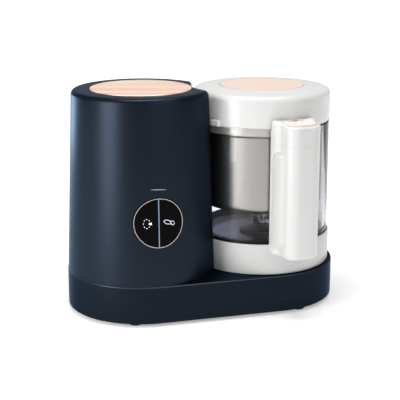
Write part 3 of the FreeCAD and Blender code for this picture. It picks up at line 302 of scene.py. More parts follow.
@dataclass(frozen=True)
class Finish:
    """A moulded or cast surface: drifting colour, uneven gloss and a fine grain."""

    made: ClassVar[dict[str, bpy.types.Material]] = {}

    name: str
    colour: Colour
    tint: Colour
    roughness: float
    swing: float = 0.08
    drift: float = 26.0
    grain: float = 1500.0
    grain_depth: float = 0.02 * MM
    specular: float = 0.5
    gleam: Colour = WHITE
    metallic: float = 0.0
    coat: float = 0.0
    subsurface: float = 0.0

    def constants(self) -> dict[str, Feed]:
        """Collect the shader values that are the same all over the surface.

        Returns:
            The values by socket name.
        """
        values: dict[str, Feed] = {
            "Specular IOR Level": self.specular,
            "Specular Tint": (*self.gleam, 1.0),
            "Metallic": self.metallic}
        if self.coat:
            values.update({"Coat Weight": self.coat, "Coat Roughness": COAT_ROUGHNESS})
        if self.subsurface:
            values.update({"Subsurface Weight": self.subsurface, "Subsurface Scale": SUBSURFACE_DEPTH})
        return values

    def material(self) -> bpy.types.Material:
        """Build the material once and reuse it after that.

        Returns:
            The material.
        """
        if self.name not in self.made:
            self.made[self.name] = self.make(ShaderSheet(bpy.data.materials.new(self.name)))
        return self.made[self.name]

    def make(self, sheet: ShaderSheet) -> bpy.types.Material:
        """Lay out the nodes.

        Args:
            sheet: The empty material.

        Returns:
            The finished material.
        """
        place = sheet.place()
        drift = sheet.noise(place, self.drift, DRIFT_DETAIL)
        grain = sheet.noise(place, self.grain, GRAIN_DETAIL)
        gloss = (drift - NOISE_MIDDLE) * self.swing + (grain - NOISE_MIDDLE) * self.swing
        return sheet.close({
            "Base Color": self.face(sheet, drift),
            "Roughness": self.roughness + gloss,
            "Normal": sheet.bump(grain, self.grain_depth),
            **self.constants()})

    def face(self, sheet: ShaderSheet, drift: Signal) -> bpy.types.NodeSocket:
        """Colour of the surface, which drifts between two tones."""
        return sheet.mix(drift, self.colour, self.tint)


@dataclass(frozen=True)
class EdgeHighlighted(Finish):
    """A moulding whose rounded upper edges carry a painted highlight, lighter than its faces."""

    painted_edge_shading: Colour = WHITE

    def face(self, sheet: ShaderSheet, drift: Signal) -> bpy.types.NodeSocket:
        """Paint a highlight on what faces between sideways and up.

        Args:
            sheet: The material.
            drift: The slow noise that moves the colour.

        Returns:
            The colour of the surface.
        """
        normal = sheet.add("ShaderNodeNewGeometry", {}, {}).outputs["True Normal"]
        _, _, upward = sheet.split(normal)
        # The product peaks at a quarter, where the edge has turned half way.
        # Painted highlight: the rounded upper edges are lightened as if they caught the light.
        rounded = (upward * (1.0 - upward) * 4.0).clipped()
        return sheet.mix(rounded, super().face(sheet, drift), self.painted_edge_shading)


@dataclass(frozen=True)
class DarkFloorWithReflection(Finish):
    """A white moulding whose floor under the glass is dark, with one painted bluish reflection on it."""

    reach: float = 0.0
    reach_fade: float = 0.2 * MM
    level: float = 0.0
    level_fade: float = 0.5 * MM
    dark_floor: Colour = (0.010, 0.010, 0.012)
    painted_reflection_place: Point2 = (24.0 * MM, -22.0 * MM)
    painted_reflection_reach: float = 36.0 * MM
    painted_reflection_colour: Colour = (0.50, 0.53, 0.66)

    def face(self, sheet: ShaderSheet, drift: Signal) -> bpy.types.NodeSocket:
        """Darken what lies inside a radius and above a level, and paint a pale bluish reflection on that
        floor.

        Args:
            sheet: The material.
            drift: The slow noise that moves the colour.

        Returns:
            The colour of the surface.
        """
        x, y, z = sheet.axes()
        inside = ((self.reach - (x - BOWL_X).hypot(y)) / self.reach_fade).clipped()
        above = ((z - self.level) / self.level_fade).clipped()
        # Painted reflection: a pale bluish patch on the dark floor, where a light shows in the glass's foot.
        aside = (x - self.painted_reflection_place[0]).hypot(y - self.painted_reflection_place[1])
        reflection_patch = (1.0 - aside / self.painted_reflection_reach).clipped()
        dark_floor = sheet.mix(reflection_patch * drift, self.dark_floor, self.painted_reflection_colour)
        return sheet.mix(inside * above, super().face(sheet, drift), dark_floor)


class Lay(Enum):
    """Which way the fine lines of a worked metal run."""

    ACROSS = "along X"
    # Level along the view's width: the painted reflection bands on the tank cap's disc run this way.
    SLANTED = "level, turned a little from X"
    ROUND_TOWER = "round the tower's axis"
    ROUND_BOWL = "round the bowl's axis"


@dataclass(frozen=True)
class Brushed(Finish):
    """Metal with fine lines along its lay and broad soft bands beside them."""

    lay: Lay = Lay.ACROSS
    lines: float = 2600.0
    line_stretch: float = 0.02
    bands: float = 60.0
    band_stretch: float = 0.12
    band_share: float = 0.5
    contrast: float = 1.0
    turn_radius: float = 60.0 * MM
    edge_from: float = 0.0
    edge_fade: float = 0.3 * MM
    painted_edge_shading: Colour = WHITE
    edge_metal_cut: float = 0.0

    def make(self, sheet: ShaderSheet) -> bpy.types.Material:
        """Lay out the nodes.

        Args:
            sheet: The empty material.

        Returns:
            The finished material.
        """
        along, across, level = self.lay_axes(sheet)
        line_place = sheet.vector(along * self.line_stretch, across, level)
        band_place = sheet.vector(along * self.band_stretch, across, level)
        fine = sheet.noise(line_place, self.lines, GRAIN_DETAIL)
        broad = sheet.noise(band_place, self.bands, GRAIN_DETAIL)
        share = broad * self.band_share + fine * (1.0 - self.band_share)
        tone = ((share - NOISE_MIDDLE) * self.contrast + NOISE_MIDDLE).clipped()
        values = self.constants()
        values["Base Color"] = sheet.mix(tone, self.colour, self.tint)
        # Painted edge zone: on the basket's rim a lighter, less metallic painted highlight; round the lid's
        # disc a grey line of painted shade.
        if self.edge_from:
            edge = self.edge(sheet)
            values["Base Color"] = sheet.mix(edge, values["Base Color"], self.painted_edge_shading)
            values["Metallic"] = self.metallic * (1.0 - edge * self.edge_metal_cut)
        return sheet.close({
            **values,
            "Roughness": self.roughness + (fine - NOISE_MIDDLE) * self.swing,
            "Normal": sheet.bump(fine, self.grain_depth)})

    def edge(self, sheet: ShaderSheet) -> Signal:
        """Share of the edge zone: the part above a height."""
        _, _, level = sheet.axes()
        return ((level - self.edge_from) / self.edge_fade).clipped()

    def lay_axes(self, sheet: ShaderSheet) -> tuple[Signal, Signal, Signal]:
        """Turn the coordinates so that the first runs along the lines.

        Args:
            sheet: The material.

        Returns:
            The coordinates along the lines, across them and up, in metres.
        """
        x, y, z = sheet.axes()
        if self.lay is Lay.ACROSS:
            return x, y, z
        if self.lay is Lay.SLANTED:
            return x * SLANT_COS - y * SLANT_SIN, x * SLANT_SIN + y * SLANT_COS, z
        reach = x - (TOWER_X if self.lay is Lay.ROUND_TOWER else BOWL_X)
        return y.turn_from(reach) * self.turn_radius, reach.hypot(y), z


@dataclass(frozen=True)
class ShadeOutlined(Brushed):
    """A brushed disc on the bowl's axis with a fine grey line of painted shade round its edge."""

    edge_fade: float = 0.2 * MM

    def edge(self, sheet: ShaderSheet) -> Signal:
        """Share of the edge zone: the part outside a radius."""
        x, y, _ = sheet.axes()
        return (((x - BOWL_X).hypot(y) - self.edge_from) / self.edge_fade).clipped()


@dataclass(frozen=True)
class RingPlate(Finish):
    """Brushed metal that is plated only inside a radius of the control field's middle."""

    lines: float = 2600.0
    line_stretch: float = 0.02
    plate_radius: float = 0.0
    plate_fade: float = 0.06 * MM
    rim: Colour = (0.0040, 0.0053, 0.0109)

    def make(self, sheet: ShaderSheet) -> bpy.types.Material:
        """Lay out the nodes.

        Args:
            sheet: The empty material.

        Returns:
            The finished material.
        """
        x, y, z = sheet.axes()
        radius = (x - TOWER_X).hypot(z - PANEL_MIDDLE.z)
        plated = ((self.plate_radius - radius) / self.plate_fade).clipped()
        fine = sheet.noise(sheet.vector(x * self.line_stretch, y, z), self.lines, GRAIN_DETAIL)
        return sheet.close({
            "Base Color": sheet.mix(plated, self.rim, self.face(sheet, fine)),
            "Roughness": self.roughness + (fine - NOISE_MIDDLE) * self.swing,
            "Metallic": plated,
            "Normal": sheet.bump(fine, self.grain_depth),
            "Specular IOR Level": self.specular})


@dataclass(frozen=True)
class Clear(Finish):
    """Clear glass with faint waves and handling marks, darker towards its foot, with a painted bluish
    reflection at the foot's left and painted shade at its right.
    """

    index: float = 1.25
    wave_detail: float = 1.0
    mark_detail: float = 4.0
    mark_power: float = 3.0
    foot: Colour = (0.62, 0.62, 0.64)
    foot_level: float = 0.0
    foot_fade: float = 16.0 * MM
    # Painted reflection: a lighter bluish tone at the foot's left.
    painted_reflection_foot: Colour = (0.88, 0.90, 1.0)
    left_from: float = -10.0 * MM
    left_fade: float = 20.0 * MM
    # Painted shade: the glass is greyed at its right side.
    side: Colour = (0.62, 0.62, 0.66)
    shade_from: float = 47.0 * MM
    shade_fade: float = 6.0 * MM

    def make(self, sheet: ShaderSheet) -> bpy.types.Material:
        """Lay out the nodes.

        Args:
            sheet: The empty material.

        Returns:
            The finished material.
        """
        place = sheet.place()
        waves = sheet.noise(place, self.drift, self.wave_detail)
        marks = sheet.noise(place, self.grain, self.mark_detail)
        x, y, z = sheet.axes()
        # Distance rightward along the view's level direction, along which the painted reflection and the
        # painted shade are laid.
        reach = (x - BOWL_X) * SLANT_COS - y * SLANT_SIN
        clear = ((z - self.foot_level) / self.foot_fade).clipped()
        reflection_share = ((self.left_from - reach) / self.left_fade).clipped()
        right_shade = ((reach - self.shade_from) / self.shade_fade).clipped()
        foot = sheet.mix(reflection_share, self.foot, self.painted_reflection_foot)
        wall = sheet.mix(right_shade, self.face(sheet, waves), self.side)
        return sheet.close({
            "Base Color": sheet.mix(clear, foot, wall),
            "Roughness": self.roughness + marks ** self.mark_power * self.swing,
            "Normal": sheet.bump(waves, self.grain_depth),
            "Transmission Weight": 1.0,
            "IOR": self.index,
            "Specular IOR Level": self.specular})


@dataclass(frozen=True)
class Glow(Finish):
    """A lit print, a little uneven."""

    strength: float = 1.0

    def make(self, sheet: ShaderSheet) -> bpy.types.Material:
        """Lay out the nodes.

        Args:
            sheet: The empty material.

        Returns:
            The finished material.
        """
        uneven = sheet.noise(sheet.place(), self.drift, GRAIN_DETAIL)
        colour = self.face(sheet, uneven)
        return sheet.close({
            "Base Color": colour,
            "Roughness": self.roughness + uneven * self.swing,
            "Emission Color": colour,
            "Emission Strength": self.strength,
            "Specular IOR Level": self.specular})


@dataclass(frozen=True)
class Guide(Glow):
    """An upright light guide that glows along its middle and is dark at its edges."""

    half: float = 0.0
    half_fade: float = 0.12 * MM
    unlit: Colour = (0.002, 0.003, 0.006)

    def face(self, sheet: ShaderSheet, drift: Signal) -> bpy.types.NodeSocket:
        """Light only the middle of the guide.

        Args:
            sheet: The material.
            drift: The noise that moves the colour.

        Returns:
            The colour of the surface.
        """
        x, _, _ = sheet.axes()
        lit = ((self.half - abs(x - TOWER_X)) / self.half_fade).clipped()
        return sheet.mix(lit, self.unlit, super().face(sheet, drift))


# A finish that depends on a size of its sub-assembly is given that size there.

# Plastics and rubber.
NAVY = Finish(
    "satin_navy", (0.0146, 0.0197, 0.0292), (0.0164, 0.0219, 0.0322), 0.36, swing=0.05, grain=1300.0,
    grain_depth=0.006 * MM, specular=0.22, gleam=(0.48, 0.58, 0.72), metallic=0.8)
# A darker copy of the navy for the base: painted shade, with a painted highlight on its rounded upper edges.
NAVY_SHADED = EdgeHighlighted(
    "satin_navy_shaded", (0.0092, 0.0129, 0.0190), (0.0108, 0.0148, 0.0217), 0.36, swing=0.05, grain=1300.0,
    grain_depth=0.006 * MM, specular=0.18, gleam=(0.38, 0.47, 0.58), metallic=0.8,
    painted_edge_shading=(0.052, 0.068, 0.088))
WHITE_PLASTIC = Finish(
    "satin_white", (0.71, 0.707, 0.695), (0.74, 0.738, 0.728), 0.3, swing=0.05, grain=1100.0,
    grain_depth=0.008 * MM, subsurface=0.04)
# A darker copy of the white plastic for the collar: painted shade; its floor under the glass is darker still
# and carries a painted reflection.
COLLAR_PLASTIC = DarkFloorWithReflection(
    "shaded_white_collar", (0.60, 0.597, 0.587), (0.63, 0.628, 0.618), 0.3, swing=0.05, grain=1100.0,
    grain_depth=0.008 * MM, subsurface=0.04)
PEACH_PLASTIC = Finish(
    "pale_peach", (0.88, 0.77, 0.69), (0.91, 0.81, 0.74), 0.35, swing=0.06, grain_depth=0.008 * MM,
    subsurface=0.05)
BLACK_PLASTIC = Finish(
    "black_moulding", (0.016, 0.016, 0.018), (0.026, 0.026, 0.028), 0.5, grain_depth=0.03 * MM)
GLOSS_BLACK = Finish(
    "piano_black", (0.0010, 0.0008, 0.0012), (0.0016, 0.0013, 0.0018), 0.1, swing=0.04,
    grain_depth=0.002 * MM, specular=0.05)
HUB_GREY = Finish("hub_moulding", (0.012, 0.012, 0.014), (0.02, 0.02, 0.022), 0.3, drift=90.0)
NYLON = Finish("filled_nylon", (0.035, 0.035, 0.037), (0.06, 0.06, 0.062), 0.48, drift=120.0, grain=900.0)
RUBBER = Finish(
    "black_rubber", grey(0.012), grey(0.022), 0.75, grain=900.0, grain_depth=0.05 * MM, specular=0.25)
SILICONE = Finish(
    "milky_silicone", (0.72, 0.72, 0.71), (0.80, 0.80, 0.79), 0.45, grain_depth=0.01 * MM, subsurface=0.15)
BOARD_GREEN = Finish(
    "board_lacquer", (0.012, 0.075, 0.03), (0.02, 0.105, 0.045), 0.35, drift=300.0, coat=0.3)

# Glass and lights.
GLASS = Clear(
    "jar_glass", grey(0.985), grey(0.99), 0.0, swing=0.05, drift=30.0, grain=120.0, grain_depth=0.06 * MM)
LIGHT_GUIDE = Guide(
    "blue_guide", (0.13, 0.21, 0.31), (0.16, 0.25, 0.36), 0.3, drift=160.0, strength=0.5, specular=0.2)
PRINT = Glow("lit_print", (0.70, 0.82, 0.92), (0.82, 0.90, 0.96), 0.4, drift=400.0, strength=0.45)

# Peach and rose metal.
# The grey line round its edge is painted shade, where the disc sits in the lid.
PEACH_DISC = ShadeOutlined(
    "shade_outlined_peach", (0.94, 0.71, 0.60), (0.98, 0.78, 0.67), 0.36, metallic=0.2, swing=0.06,
    grain_depth=0.003 * MM, band_share=0.8, painted_edge_shading=(0.42, 0.39, 0.38))
# Its broad bands, laid level along the view's width and strongly contrasted, are painted reflections on the
# tank cap's disc.
PEACH_METAL = Brushed(
    "brushed_peach_painted_reflections", (0.98, 0.50, 0.41), (1.0, 0.90, 0.68), 0.34, metallic=0.25, swing=0.12,
    grain_depth=0.004 * MM, lay=Lay.SLANTED, bands=100.0, band_stretch=0.012, band_share=0.9, contrast=4.5)
ROSE_METAL = Brushed(
    "rose_plate", (0.90, 0.76, 0.66), (0.96, 0.85, 0.77), 0.2, metallic=0.3, swing=0.1,
    grain_depth=0.004 * MM)
ROSE_RING = RingPlate(
    "rose_ring", (0.86, 0.68, 0.57), (0.94, 0.80, 0.72), 0.24, swing=0.1, grain_depth=0.004 * MM,
    specular=0.16)

# Steel and other bare metal.
# Its rim is painted lighter and less metallic than its wall: a painted highlight.
BASKET_STEEL = Brushed(
    "drawn_steel", (0.36, 0.34, 0.325), (0.44, 0.42, 0.405), 0.33, metallic=1.0, swing=0.12,
    grain_depth=0.004 * MM, lay=Lay.ROUND_BOWL, bands=200.0, band_share=0.3,
    painted_edge_shading=(0.62, 0.60, 0.58), edge_metal_cut=0.5)
TANK_STEEL = Brushed(
    "spun_steel", (0.58, 0.58, 0.59), (0.70, 0.70, 0.71), 0.3, metallic=1.0, swing=0.14,
    grain_depth=0.005 * MM, lay=Lay.ROUND_TOWER, bands=220.0, band_share=0.3)
BLADE_STEEL = Brushed(
    "ground_steel", (0.62, 0.62, 0.63), (0.74, 0.74, 0.75), 0.2, metallic=1.0, swing=0.12,
    grain_depth=0.005 * MM)
SHAFT_STEEL = Brushed(
    "bright_steel", (0.62, 0.62, 0.63), (0.72, 0.72, 0.73), 0.16, metallic=1.0, swing=0.1,
    grain_depth=0.003 * MM, lay=Lay.ROUND_BOWL)
SCREW_STEEL = Finish(
    "zinc_screw", (0.50, 0.50, 0.51), (0.62, 0.62, 0.61), 0.34, metallic=1.0, drift=400.0,
    grain_depth=0.01 * MM)
MOTOR_STEEL = Finish("motor_zinc", (0.40, 0.41, 0.43), (0.52, 0.53, 0.54), 0.38, metallic=1.0, drift=120.0)
CORE_STEEL = Brushed(
    "core_sheets", (0.26, 0.24, 0.23), (0.40, 0.38, 0.36), 0.45, metallic=1.0, swing=0.2,
    lay=Lay.ROUND_TOWER, lines=1400.0)
CAST_ALUMINIUM = Finish(
    "grey_casting", (0.56, 0.56, 0.57), (0.68, 0.68, 0.69), 0.5, metallic=1.0, drift=220.0, grain=700.0,
    grain_depth=0.06 * MM)
BRONZE = Finish(
    "sintered_bronze", (0.45, 0.29, 0.12), (0.58, 0.40, 0.19), 0.42, metallic=1.0, drift=300.0,
    grain=2200.0)


def add_piece(name: str, mesh: bmesh.types.BMesh, body: str, finish: Finish) -> bpy.types.Object:
    """Turn a bmesh into a piece that rides on a CAD body.

    Args:
        name: The piece's name.
        mesh: Its shape in the CAD frame; it is freed.
        body: The CAD body that it rides on.
        finish: Its finish.

    Returns:
        The new piece.
    """
    bmesh.ops.recalc_face_normals(mesh, faces=mesh.faces)
    data = bpy.data.meshes.new(name)
    mesh.to_mesh(data)
    mesh.free()
    data.materials.append(finish.material())
    piece = bpy.data.objects.new(name, data)
    bpy.context.scene.collection.objects.link(piece)
    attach(piece, body)
    LOG.info("made %s on %s", name, body)
    return piece


@dataclass
class SubAssembly:
    """A group of CAD nodes that are dressed together, with the pieces that only the scene has."""

    crease: float = math.radians(32.0)
    weld: float = 0.002 * MM

    def build(self) -> None:
        """Dress the CAD nodes and add the scene's own pieces."""
        for name, finish in self.finishes().items():
            self.dress(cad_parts[name], finish)
            LOG.info("dressed %s with %s", name, finish.name)
        self.add_pieces()

    def finishes(self) -> dict[str, Finish]:
        """No finishes: each sub-assembly names its own."""
        return {}

    def add_pieces(self) -> None:
        """Add nothing: most sub-assemblies are whole in the CAD model."""

    def dress(self, node: bpy.types.Object, finish: Finish) -> None:
        """Give a node its material and shade it smooth up to its creases.

        Args:
            node: The CAD node's object.
            finish: Its finish.
        """
        node.data.materials.clear()
        node.data.materials.append(finish.material())
        for face in node.data.polygons:
            face.use_smooth = True
        node.modifiers.new("weld", "WELD").merge_threshold = self.weld
        node.modifiers.new("crease", "EDGE_SPLIT").split_angle = self.crease


@dataclass
class Base(SubAssembly):
    """The long base with its bottom cover, feet and cord gland."""

    def finishes(self) -> dict[str, Finish]:
        """Choose the finish of each CAD node.

        Returns:
            The finishes by node name.
        """
        return {
            "base_shell": NAVY_SHADED, "bottom_cover": BLACK_PLASTIC, "rubber_feet": RUBBER,
            "cover_screws": SCREW_STEEL, "cord_gland": RUBBER}


@dataclass
class Tower(SubAssembly):
    """The tapered tower with its water tank, heater and steam nozzle."""

    def finishes(self) -> dict[str, Finish]:
        """Choose the finish of each CAD node.

        Returns:
            The finishes by node name.
        """
        return {
            "tower_shell": NAVY, "tower_screws": SCREW_STEEL, "water_tank": TANK_STEEL,
            "steam_nozzle": SILICONE, "heater_plate": CAST_ALUMINIUM}


@dataclass
class TankCap(SubAssembly):
    """The tank's lift-off cap with its brushed disc, banded with painted reflections."""

    def finishes(self) -> dict[str, Finish]:
        """Choose the finish of each CAD node.

        Returns:
            The finishes by node name.
        """
        return {"cap_body": BLACK_PLASTIC, "cap_disc": PEACH_METAL, "cap_seal": SILICONE}


@dataclass(frozen=True)
class Loop:
    """One closed loop of the blending sign, from the sign's middle."""

    aside: float
    half_width: float
    half_height: float


@dataclass
class Controls(SubAssembly):
    """The round control field on the tower's tapered front, with its printed signs."""

    ring_radius: float = 24.75 * MM
    light_half: float = 0.52 * MM
    foot_level: float = TOWER_LOW.z
    foot_radius: float = TOWER_X - TOWER_LOW.x
    top_level: float = TOWER_HIGH.z
    top_radius: float = 70.6 * MM
    proud: float = 0.06 * MM
    root: float = 0.25 * MM
    stroke: float = 0.27 * MM
    round_end: tuple[Point2, ...] = ((1.0, 0.3), (0.6, 0.8))
    steam_middle: float = -12.0 * MM
    steam_oval: Point2 = (3.3 * MM, 4.6 * MM)
    dot_turns: Sequence[int] = range(45, 330, 45)
    dot_half_turn: float = math.radians(6.0)
    wedge_from: Point2 = (2.0 * MM, 0.2 * MM)
    wedge_to: Point2 = (4.6 * MM, 1.1 * MM)
    wedge_rays: tuple[float, ...] = (-1.0, -0.5, 0.0, 0.5, 1.0)
    blend_middle: Point2 = (10.2 * MM, 0.2 * MM)
    blend_sink: float = 0.28
    blend_loops: tuple[Loop, ...] = (
        Loop(-1.6 * MM, 3.6 * MM, 1.9 * MM), Loop(3.75 * MM, 1.75 * MM, 2.0 * MM))
    blend_steps: int = 24
    blend_bar: float = 2.0 * MM
    blend_bar_ends: Point2 = (-2.0 * MM, 1.5 * MM)
    blend_thin: float = 0.8
    dash_middle: Point2 = (0.3 * MM, 33.6 * MM)
    dash_step: Point2 = (0.85 * MM, -0.05 * MM)
    dash_steps: int = 9
    dash_half: float = 0.2 * MM
    dash_taper: float = 0.35

    def finishes(self) -> dict[str, Finish]:
        """Choose the finish of each CAD node.

        Returns:
            The finishes by node name.
        """
        return {
            "control_bezel": replace(ROSE_RING, plate_radius=self.ring_radius),
            "light_bar": replace(LIGHT_GUIDE, half=self.light_half),
            "steam_button": GLOSS_BLACK, "blend_button": GLOSS_BLACK, "panel_carrier": BLACK_PLASTIC,
            "keypad": SILICONE, "circuit_board": BOARD_GREEN}

    def add_pieces(self) -> None:
        """Make the two lit signs and the short trim line above the ring."""
        self.strokes("steam_sign", self.steam_lines(), self.stroke, "steam_button", PRINT)
        self.strokes("blend_sign", self.blend_lines(), self.stroke * self.blend_thin, "blend_button", PRINT)
        steps = range(-self.dash_steps, self.dash_steps + 1)
        dash = [tuple(mid + step * pitch for mid, pitch in zip(self.dash_middle, self.dash_step))
                for step in steps]
        self.strokes("trim_dash", [dash], self.dash_half, "base", ROSE_METAL, self.dash_taper)

    def steam_lines(self) -> list[list[Point2]]:
        """Draw an oval of dots with a wedge at its side.

        Returns:
            The strokes' points across and up from the control field's middle.
        """
        lines = []
        for turn in map(math.radians, self.dot_turns):
            ends = (turn - self.dot_half_turn, turn + self.dot_half_turn)
            lines.append([(self.steam_middle + self.steam_oval[0] * math.cos(end),
                           self.steam_oval[1] * math.sin(end)) for end in ends])
        for ray in self.wedge_rays:
            lines.append([(self.steam_middle + reach, ray * rise)
                          for reach, rise in (self.wedge_from, self.wedge_to)])
        return lines

    def blend_lines(self) -> list[list[Point2]]:
        """Draw a long and a short loop that meet at a bar and sink to the right.

        Returns:
            The strokes' points across and up from the control field's middle.
        """
        across, up = self.blend_middle
        lines = []
        for loop in self.blend_loops:
            line = []
            for step in range(self.blend_steps + 1):
                turn = 2.0 * math.pi * step / self.blend_steps
                x = loop.aside + loop.half_width * math.cos(turn)
                line.append((across + x, up + loop.half_height * math.sin(turn) - self.blend_sink * x))
            lines.append(line)
        lines.append([(across + self.blend_bar, end) for end in self.blend_bar_ends])
        return lines

    def on_face(self, across: float, up: float, out: float) -> Vector:
        """Find a point on the tower's front.

        Args:
            across: Distance to the right of the control field's middle.
            up: Height above that middle.
            out: Distance in front of the face.

        Returns:
            The point in the CAD frame.
        """
        height = PANEL_MIDDLE.z + up
        share = (height - self.foot_level) / (self.top_level - self.foot_level)
        radius = self.foot_radius + share * (self.top_radius - self.foot_radius) + out
        return Vector((TOWER_X + across, -math.sqrt(radius * radius - across * across), height))

    def strokes(self, name: str, lines: Sequence[Sequence[Point2]], half: float, body: str,
                finish: Finish, taper: float = 1.0) -> bpy.types.Object:
        """Make a sign from drawn strokes that lie on the face.

        Args:
            name: The piece's name.
            lines: Each stroke's points across and up.
            half: Half the stroke's width.
            body: The CAD body that it rides on.
            finish: Its finish.
            taper: Width of a stroke's ends as a share of its middle's.

        Returns:
            The new piece.
        """
        mesh = bmesh.new()
        for line in lines:
            self.add_stroke(mesh, line, half, taper)
        return add_piece(name, mesh, body, finish)

    def add_stroke(self, mesh: bmesh.types.BMesh, line: Sequence[Point2], half: float, taper: float) -> None:
        """Add one raised stroke with rounded ends to a mesh.

        Args:
            mesh: The mesh that takes the stroke.
            line: The stroke's points across and up.
            half: Half its width.
            taper: Width of its ends as a share of its middle's.
        """
        points = [Vector(point) for point in line]
        first = (points[1] - points[0]).normalized()
        last = (points[-1] - points[-2]).normalized()
        middle = (len(points) - 1) / 2.0
        stations = [(points[0] - first * half * reach, share * taper) for reach, share in self.round_end]
        stations += [(point, 1.0 - (1.0 - taper) * ((index - middle) / middle) ** 2)
                     for index, point in enumerate(points)]
        stations += [(points[-1] + last * half * reach, share * taper)
                     for reach, share in reversed(self.round_end)]
        rings = []
        for index, (point, share) in enumerate(stations):
            before = stations[max(index - 1, 0)][0]
            after = stations[min(index + 1, len(stations) - 1)][0]
            heading = (after - before).normalized()
            side = Vector((-heading.y, heading.x)) * half * share
            corners = [(point + side, self.proud), (point - side, self.proud),
                       (point - side, -self.root), (point + side, -self.root)]
            rings.append([mesh.verts.new(self.on_face(corner.x, corner.y, out)) for corner, out in corners])
        sides = len(rings[0])
        for near, far in zip(rings, rings[1:]):
            for here in range(sides):
                following = (here + 1) % sides
                mesh.faces.new((near[here], near[following], far[following], far[here]))
        mesh.faces.new(rings[0][::-1])
        mesh.faces.new(rings[-1])


@dataclass
class Drive(SubAssembly):
    """The motor, the belt drive and the dog that turns the blade."""

    def finishes(self) -> dict[str, Finish]:
        """Choose the finish of each CAD node.

        Returns:
            The finishes by node name.
        """
        return {
            "motor_bracket": MOTOR_STEEL, "bracket_screws": SCREW_STEEL, "motor_can": MOTOR_STEEL,
            "motor_stator": CORE_STEEL, "motor_armature": CORE_STEEL, "motor_shaft": SHAFT_STEEL,
            "motor_pulley": NYLON, "drive_belt": RUBBER, "driven_pulley": NYLON,
            "drive_shaft": SHAFT_STEEL, "upper_bush": BRONZE, "lower_bush": BRONZE, "drive_dog": NYLON}


@dataclass
class Bowl(SubAssembly):
    """The glass bowl in its white collar, with the handle and the blade's hub."""

    dark_floor_gap: float = 0.4 * MM
    dark_floor_level: float = 60.0 * MM
    darker_foot_level: float = 88.0 * MM

    def finishes(self) -> dict[str, Finish]:
        """Choose the finish of each CAD node.

        Returns:
            The finishes by node name.
        """
        # The collar's floor is darker inside the glass, and the glass darker towards its foot.
        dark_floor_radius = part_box("glass_jar")[1][0] - BOWL_X - self.dark_floor_gap
        return {
            "bowl_collar": replace(COLLAR_PLASTIC, reach=dark_floor_radius, level=self.dark_floor_level),
            "jar_gasket": RUBBER,
            "glass_jar": replace(GLASS, foot_level=self.darker_foot_level),
            "hub_seal": RUBBER, "blade_hub": HUB_GREY, "hub_nut": HUB_GREY, "blade_bush": BRONZE,
            "handle_grip": WHITE_PLASTIC, "handle_head": WHITE_PLASTIC, "thumb_spring": SILICONE,
            "thumb_button": PEACH_PLASTIC}


@dataclass
class Blade(SubAssembly):
    """The bent blades on their shaft."""

    def finishes(self) -> dict[str, Finish]:
        """Choose the finish of each CAD node.

        Returns:
            The finishes by node name.
        """
        return {"blade_shaft": SHAFT_STEEL, "blade_set": BLADE_STEEL, "coupling_cup": NYLON}


@dataclass
class Basket(SubAssembly):
    """The drawn steam basket, whose rim carries a painted highlight: lighter and less metallic than its
    wall.
    """

    rim_depth: float = 7.6 * MM

    def finishes(self) -> dict[str, Finish]:
        """Choose the finish of each CAD node.

        Returns:
            The finishes by node name.
        """
        jar_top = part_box("glass_jar")[1][2]
        return {"steam_basket": replace(BASKET_STEEL, edge_from=jar_top - self.rim_depth)}


@dataclass
class Lid(SubAssembly):
    """The domed lid with its peach disc, steam inlet and diffuser."""

    shade_line_width: float = 0.6 * MM

    def finishes(self) -> dict[str, Finish]:
        """Choose the finish of each CAD node.

        Returns:
            The finishes by node name.
        """
        # The disc's outer ring of this width is painted grey as a line of shade.
        disc_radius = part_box("lid_disc")[1][0] - BOWL_X
        return {
            "lid_shell": WHITE_PLASTIC,
            "lid_disc": replace(PEACH_DISC, edge_from=disc_radius - self.shade_line_width),
            "lid_inlet": SILICONE, "lid_seal": SILICONE, "lid_diffuser": WHITE_PLASTIC}


def aim_at(item: bpy.types.Object, place: Point3, aim: Point3) -> None:
    """Put a light or a camera into the scene so that it looks at a point.

    Args:
        item: The light or camera.
        place: Where it stands.
        aim: The point that it looks at.
    """
    item.location = place
    item.rotation_mode = "QUATERNION"
    item.rotation_quaternion = (Vector(aim) - Vector(place)).to_track_quat("-Z", "Y")
    bpy.context.scene.collection.objects.link(item)


@dataclass(frozen=True)
class Softbox:
    """A rectangular studio light aimed at a point."""

    name: str
    place: Point3
    width: float
    height: float
    power: float
    aim: Point3 = (0.0, 0.0, 0.1)

    def build(self) -> None:
        """Add the light to the scene."""
        data = bpy.data.lights.new(self.name, "AREA")
        data.shape = "RECTANGLE"
        data.size = self.width
        data.size_y = self.height
        data.energy = self.power
        lamp = bpy.data.objects.new(self.name, data)
        aim_at(lamp, self.place, self.aim)


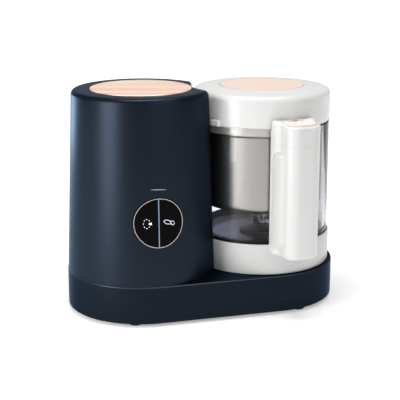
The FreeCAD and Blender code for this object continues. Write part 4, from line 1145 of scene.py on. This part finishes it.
@dataclass
class Studio:
    """Pale floor, soft light and the camera at the photograph's angle."""

    eye: Point3 = (-0.30466, -1.09651, 0.40613)
    target: Point3 = (-0.00145, 0.00243, 0.10625)
    lens: float = 100.34
    sensor: float = 36.0
    boxes: tuple[Softbox, ...] = (
        Softbox("left_box", (-0.585, -0.277, 0.22), 0.24, 0.40, 2.6),
        Softbox("edge_box", (-0.42, 0.58, 0.13), 0.20, 0.16, 0.95, aim=(-0.12, 0.0, 0.20)),
        Softbox("top_box", (0.0, -0.05, 1.10), 0.7, 0.5, 8.0),
        Softbox("right_box", (0.55, -1.30, 0.75), 1.0, 0.9, 5.0),
        Softbox("back_box", (0.40, 1.60, 0.75), 2.6, 1.2, 3.0))
    floor_reach: float = 14.0
    floor_sides: int = 96
    floor_colour: Colour = grey(0.93)
    floor_tint: Colour = grey(0.95)
    floor_drift: float = 3.0
    floor_roughness: float = 0.7
    floor_swing: float = 0.1
    floor_specular: float = 0.2
    floor_glow: Stops = ((0.3, grey(0.33)), (1.0, grey(0.95)))
    apron_from: float = -0.10
    apron_fade: float = 0.2
    apron_glow: Colour = grey(0.26)
    sky: Stops = ((0.0, (0.22, 0.22, 0.2244)), (1.0, grey(0.20)))

    def build(self) -> None:
        """Make the floor, the sky, the lights and the camera."""
        bpy.context.scene.view_settings.view_transform = "Standard"
        self.build_floor()
        self.build_sky()
        for box in self.boxes:
            box.build()
        self.build_camera()

    def build_floor(self) -> None:
        """Make the floor as a round sheet of faintly uneven white that glows further out."""
        mesh = bmesh.new()
        bmesh.ops.create_circle(mesh, cap_ends=True, radius=self.floor_reach, segments=self.floor_sides)
        data = bpy.data.meshes.new("studio_floor")
        mesh.to_mesh(data)
        mesh.free()
        data.materials.append(self.floor_material())
        floor = bpy.data.objects.new("studio_floor", data)
        bpy.context.scene.collection.objects.link(floor)

    def floor_material(self) -> bpy.types.Material:
        """Lay out the floor's nodes.

        Returns:
            The floor's material.
        """
        sheet = ShaderSheet(bpy.data.materials.new("studio_white"))
        drift = sheet.noise(sheet.place(), self.floor_drift, GRAIN_DETAIL)
        x, y, _ = sheet.axes()
        glow = sheet.ramp(x.hypot(y), self.floor_glow)
        apron = ((self.apron_from - y) / self.apron_fade).clipped()
        return sheet.close({
            "Base Color": sheet.mix(drift, self.floor_colour, self.floor_tint),
            "Roughness": self.floor_roughness + drift * self.floor_swing,
            "Specular IOR Level": self.floor_specular,
            "Emission Color": sheet.mix(apron, glow, self.apron_glow),
            "Emission Strength": 1.0})

    def build_sky(self) -> None:
        """Make a soft even sky."""
        sheet = ShaderSheet(bpy.data.worlds.new("studio_sky"))
        heading = sheet.add("ShaderNodeTexCoord", {}, {}).outputs["Generated"]
        _, _, upward = sheet.split(heading)
        glow = sheet.add("ShaderNodeBackground", {}, {"Color": sheet.ramp(upward, self.sky)})
        sheet.add("ShaderNodeOutputWorld", {}, {"Surface": glow.outputs[0]})
        bpy.context.scene.world = sheet.owner

    def build_camera(self) -> None:
        """Place the camera where the photograph was taken from."""
        data = bpy.data.cameras.new("camera")
        data.lens = self.lens
        data.sensor_width = self.sensor
        camera = bpy.data.objects.new("camera", data)
        aim_at(camera, self.eye, self.target)
        bpy.context.scene.camera = camera


def main() -> None:
    """Dress every CAD node, add the printed signs and set the studio."""
    logging.basicConfig(level=logging.INFO, format="%(name)s: %(message)s")
    for part in (Base(), Tower(), TankCap(), Controls(), Drive(), Bowl(), Blade(), Basket(), Lid()):
        part.build()
    Studio().build()


if __name__ == "__main__":
    main()
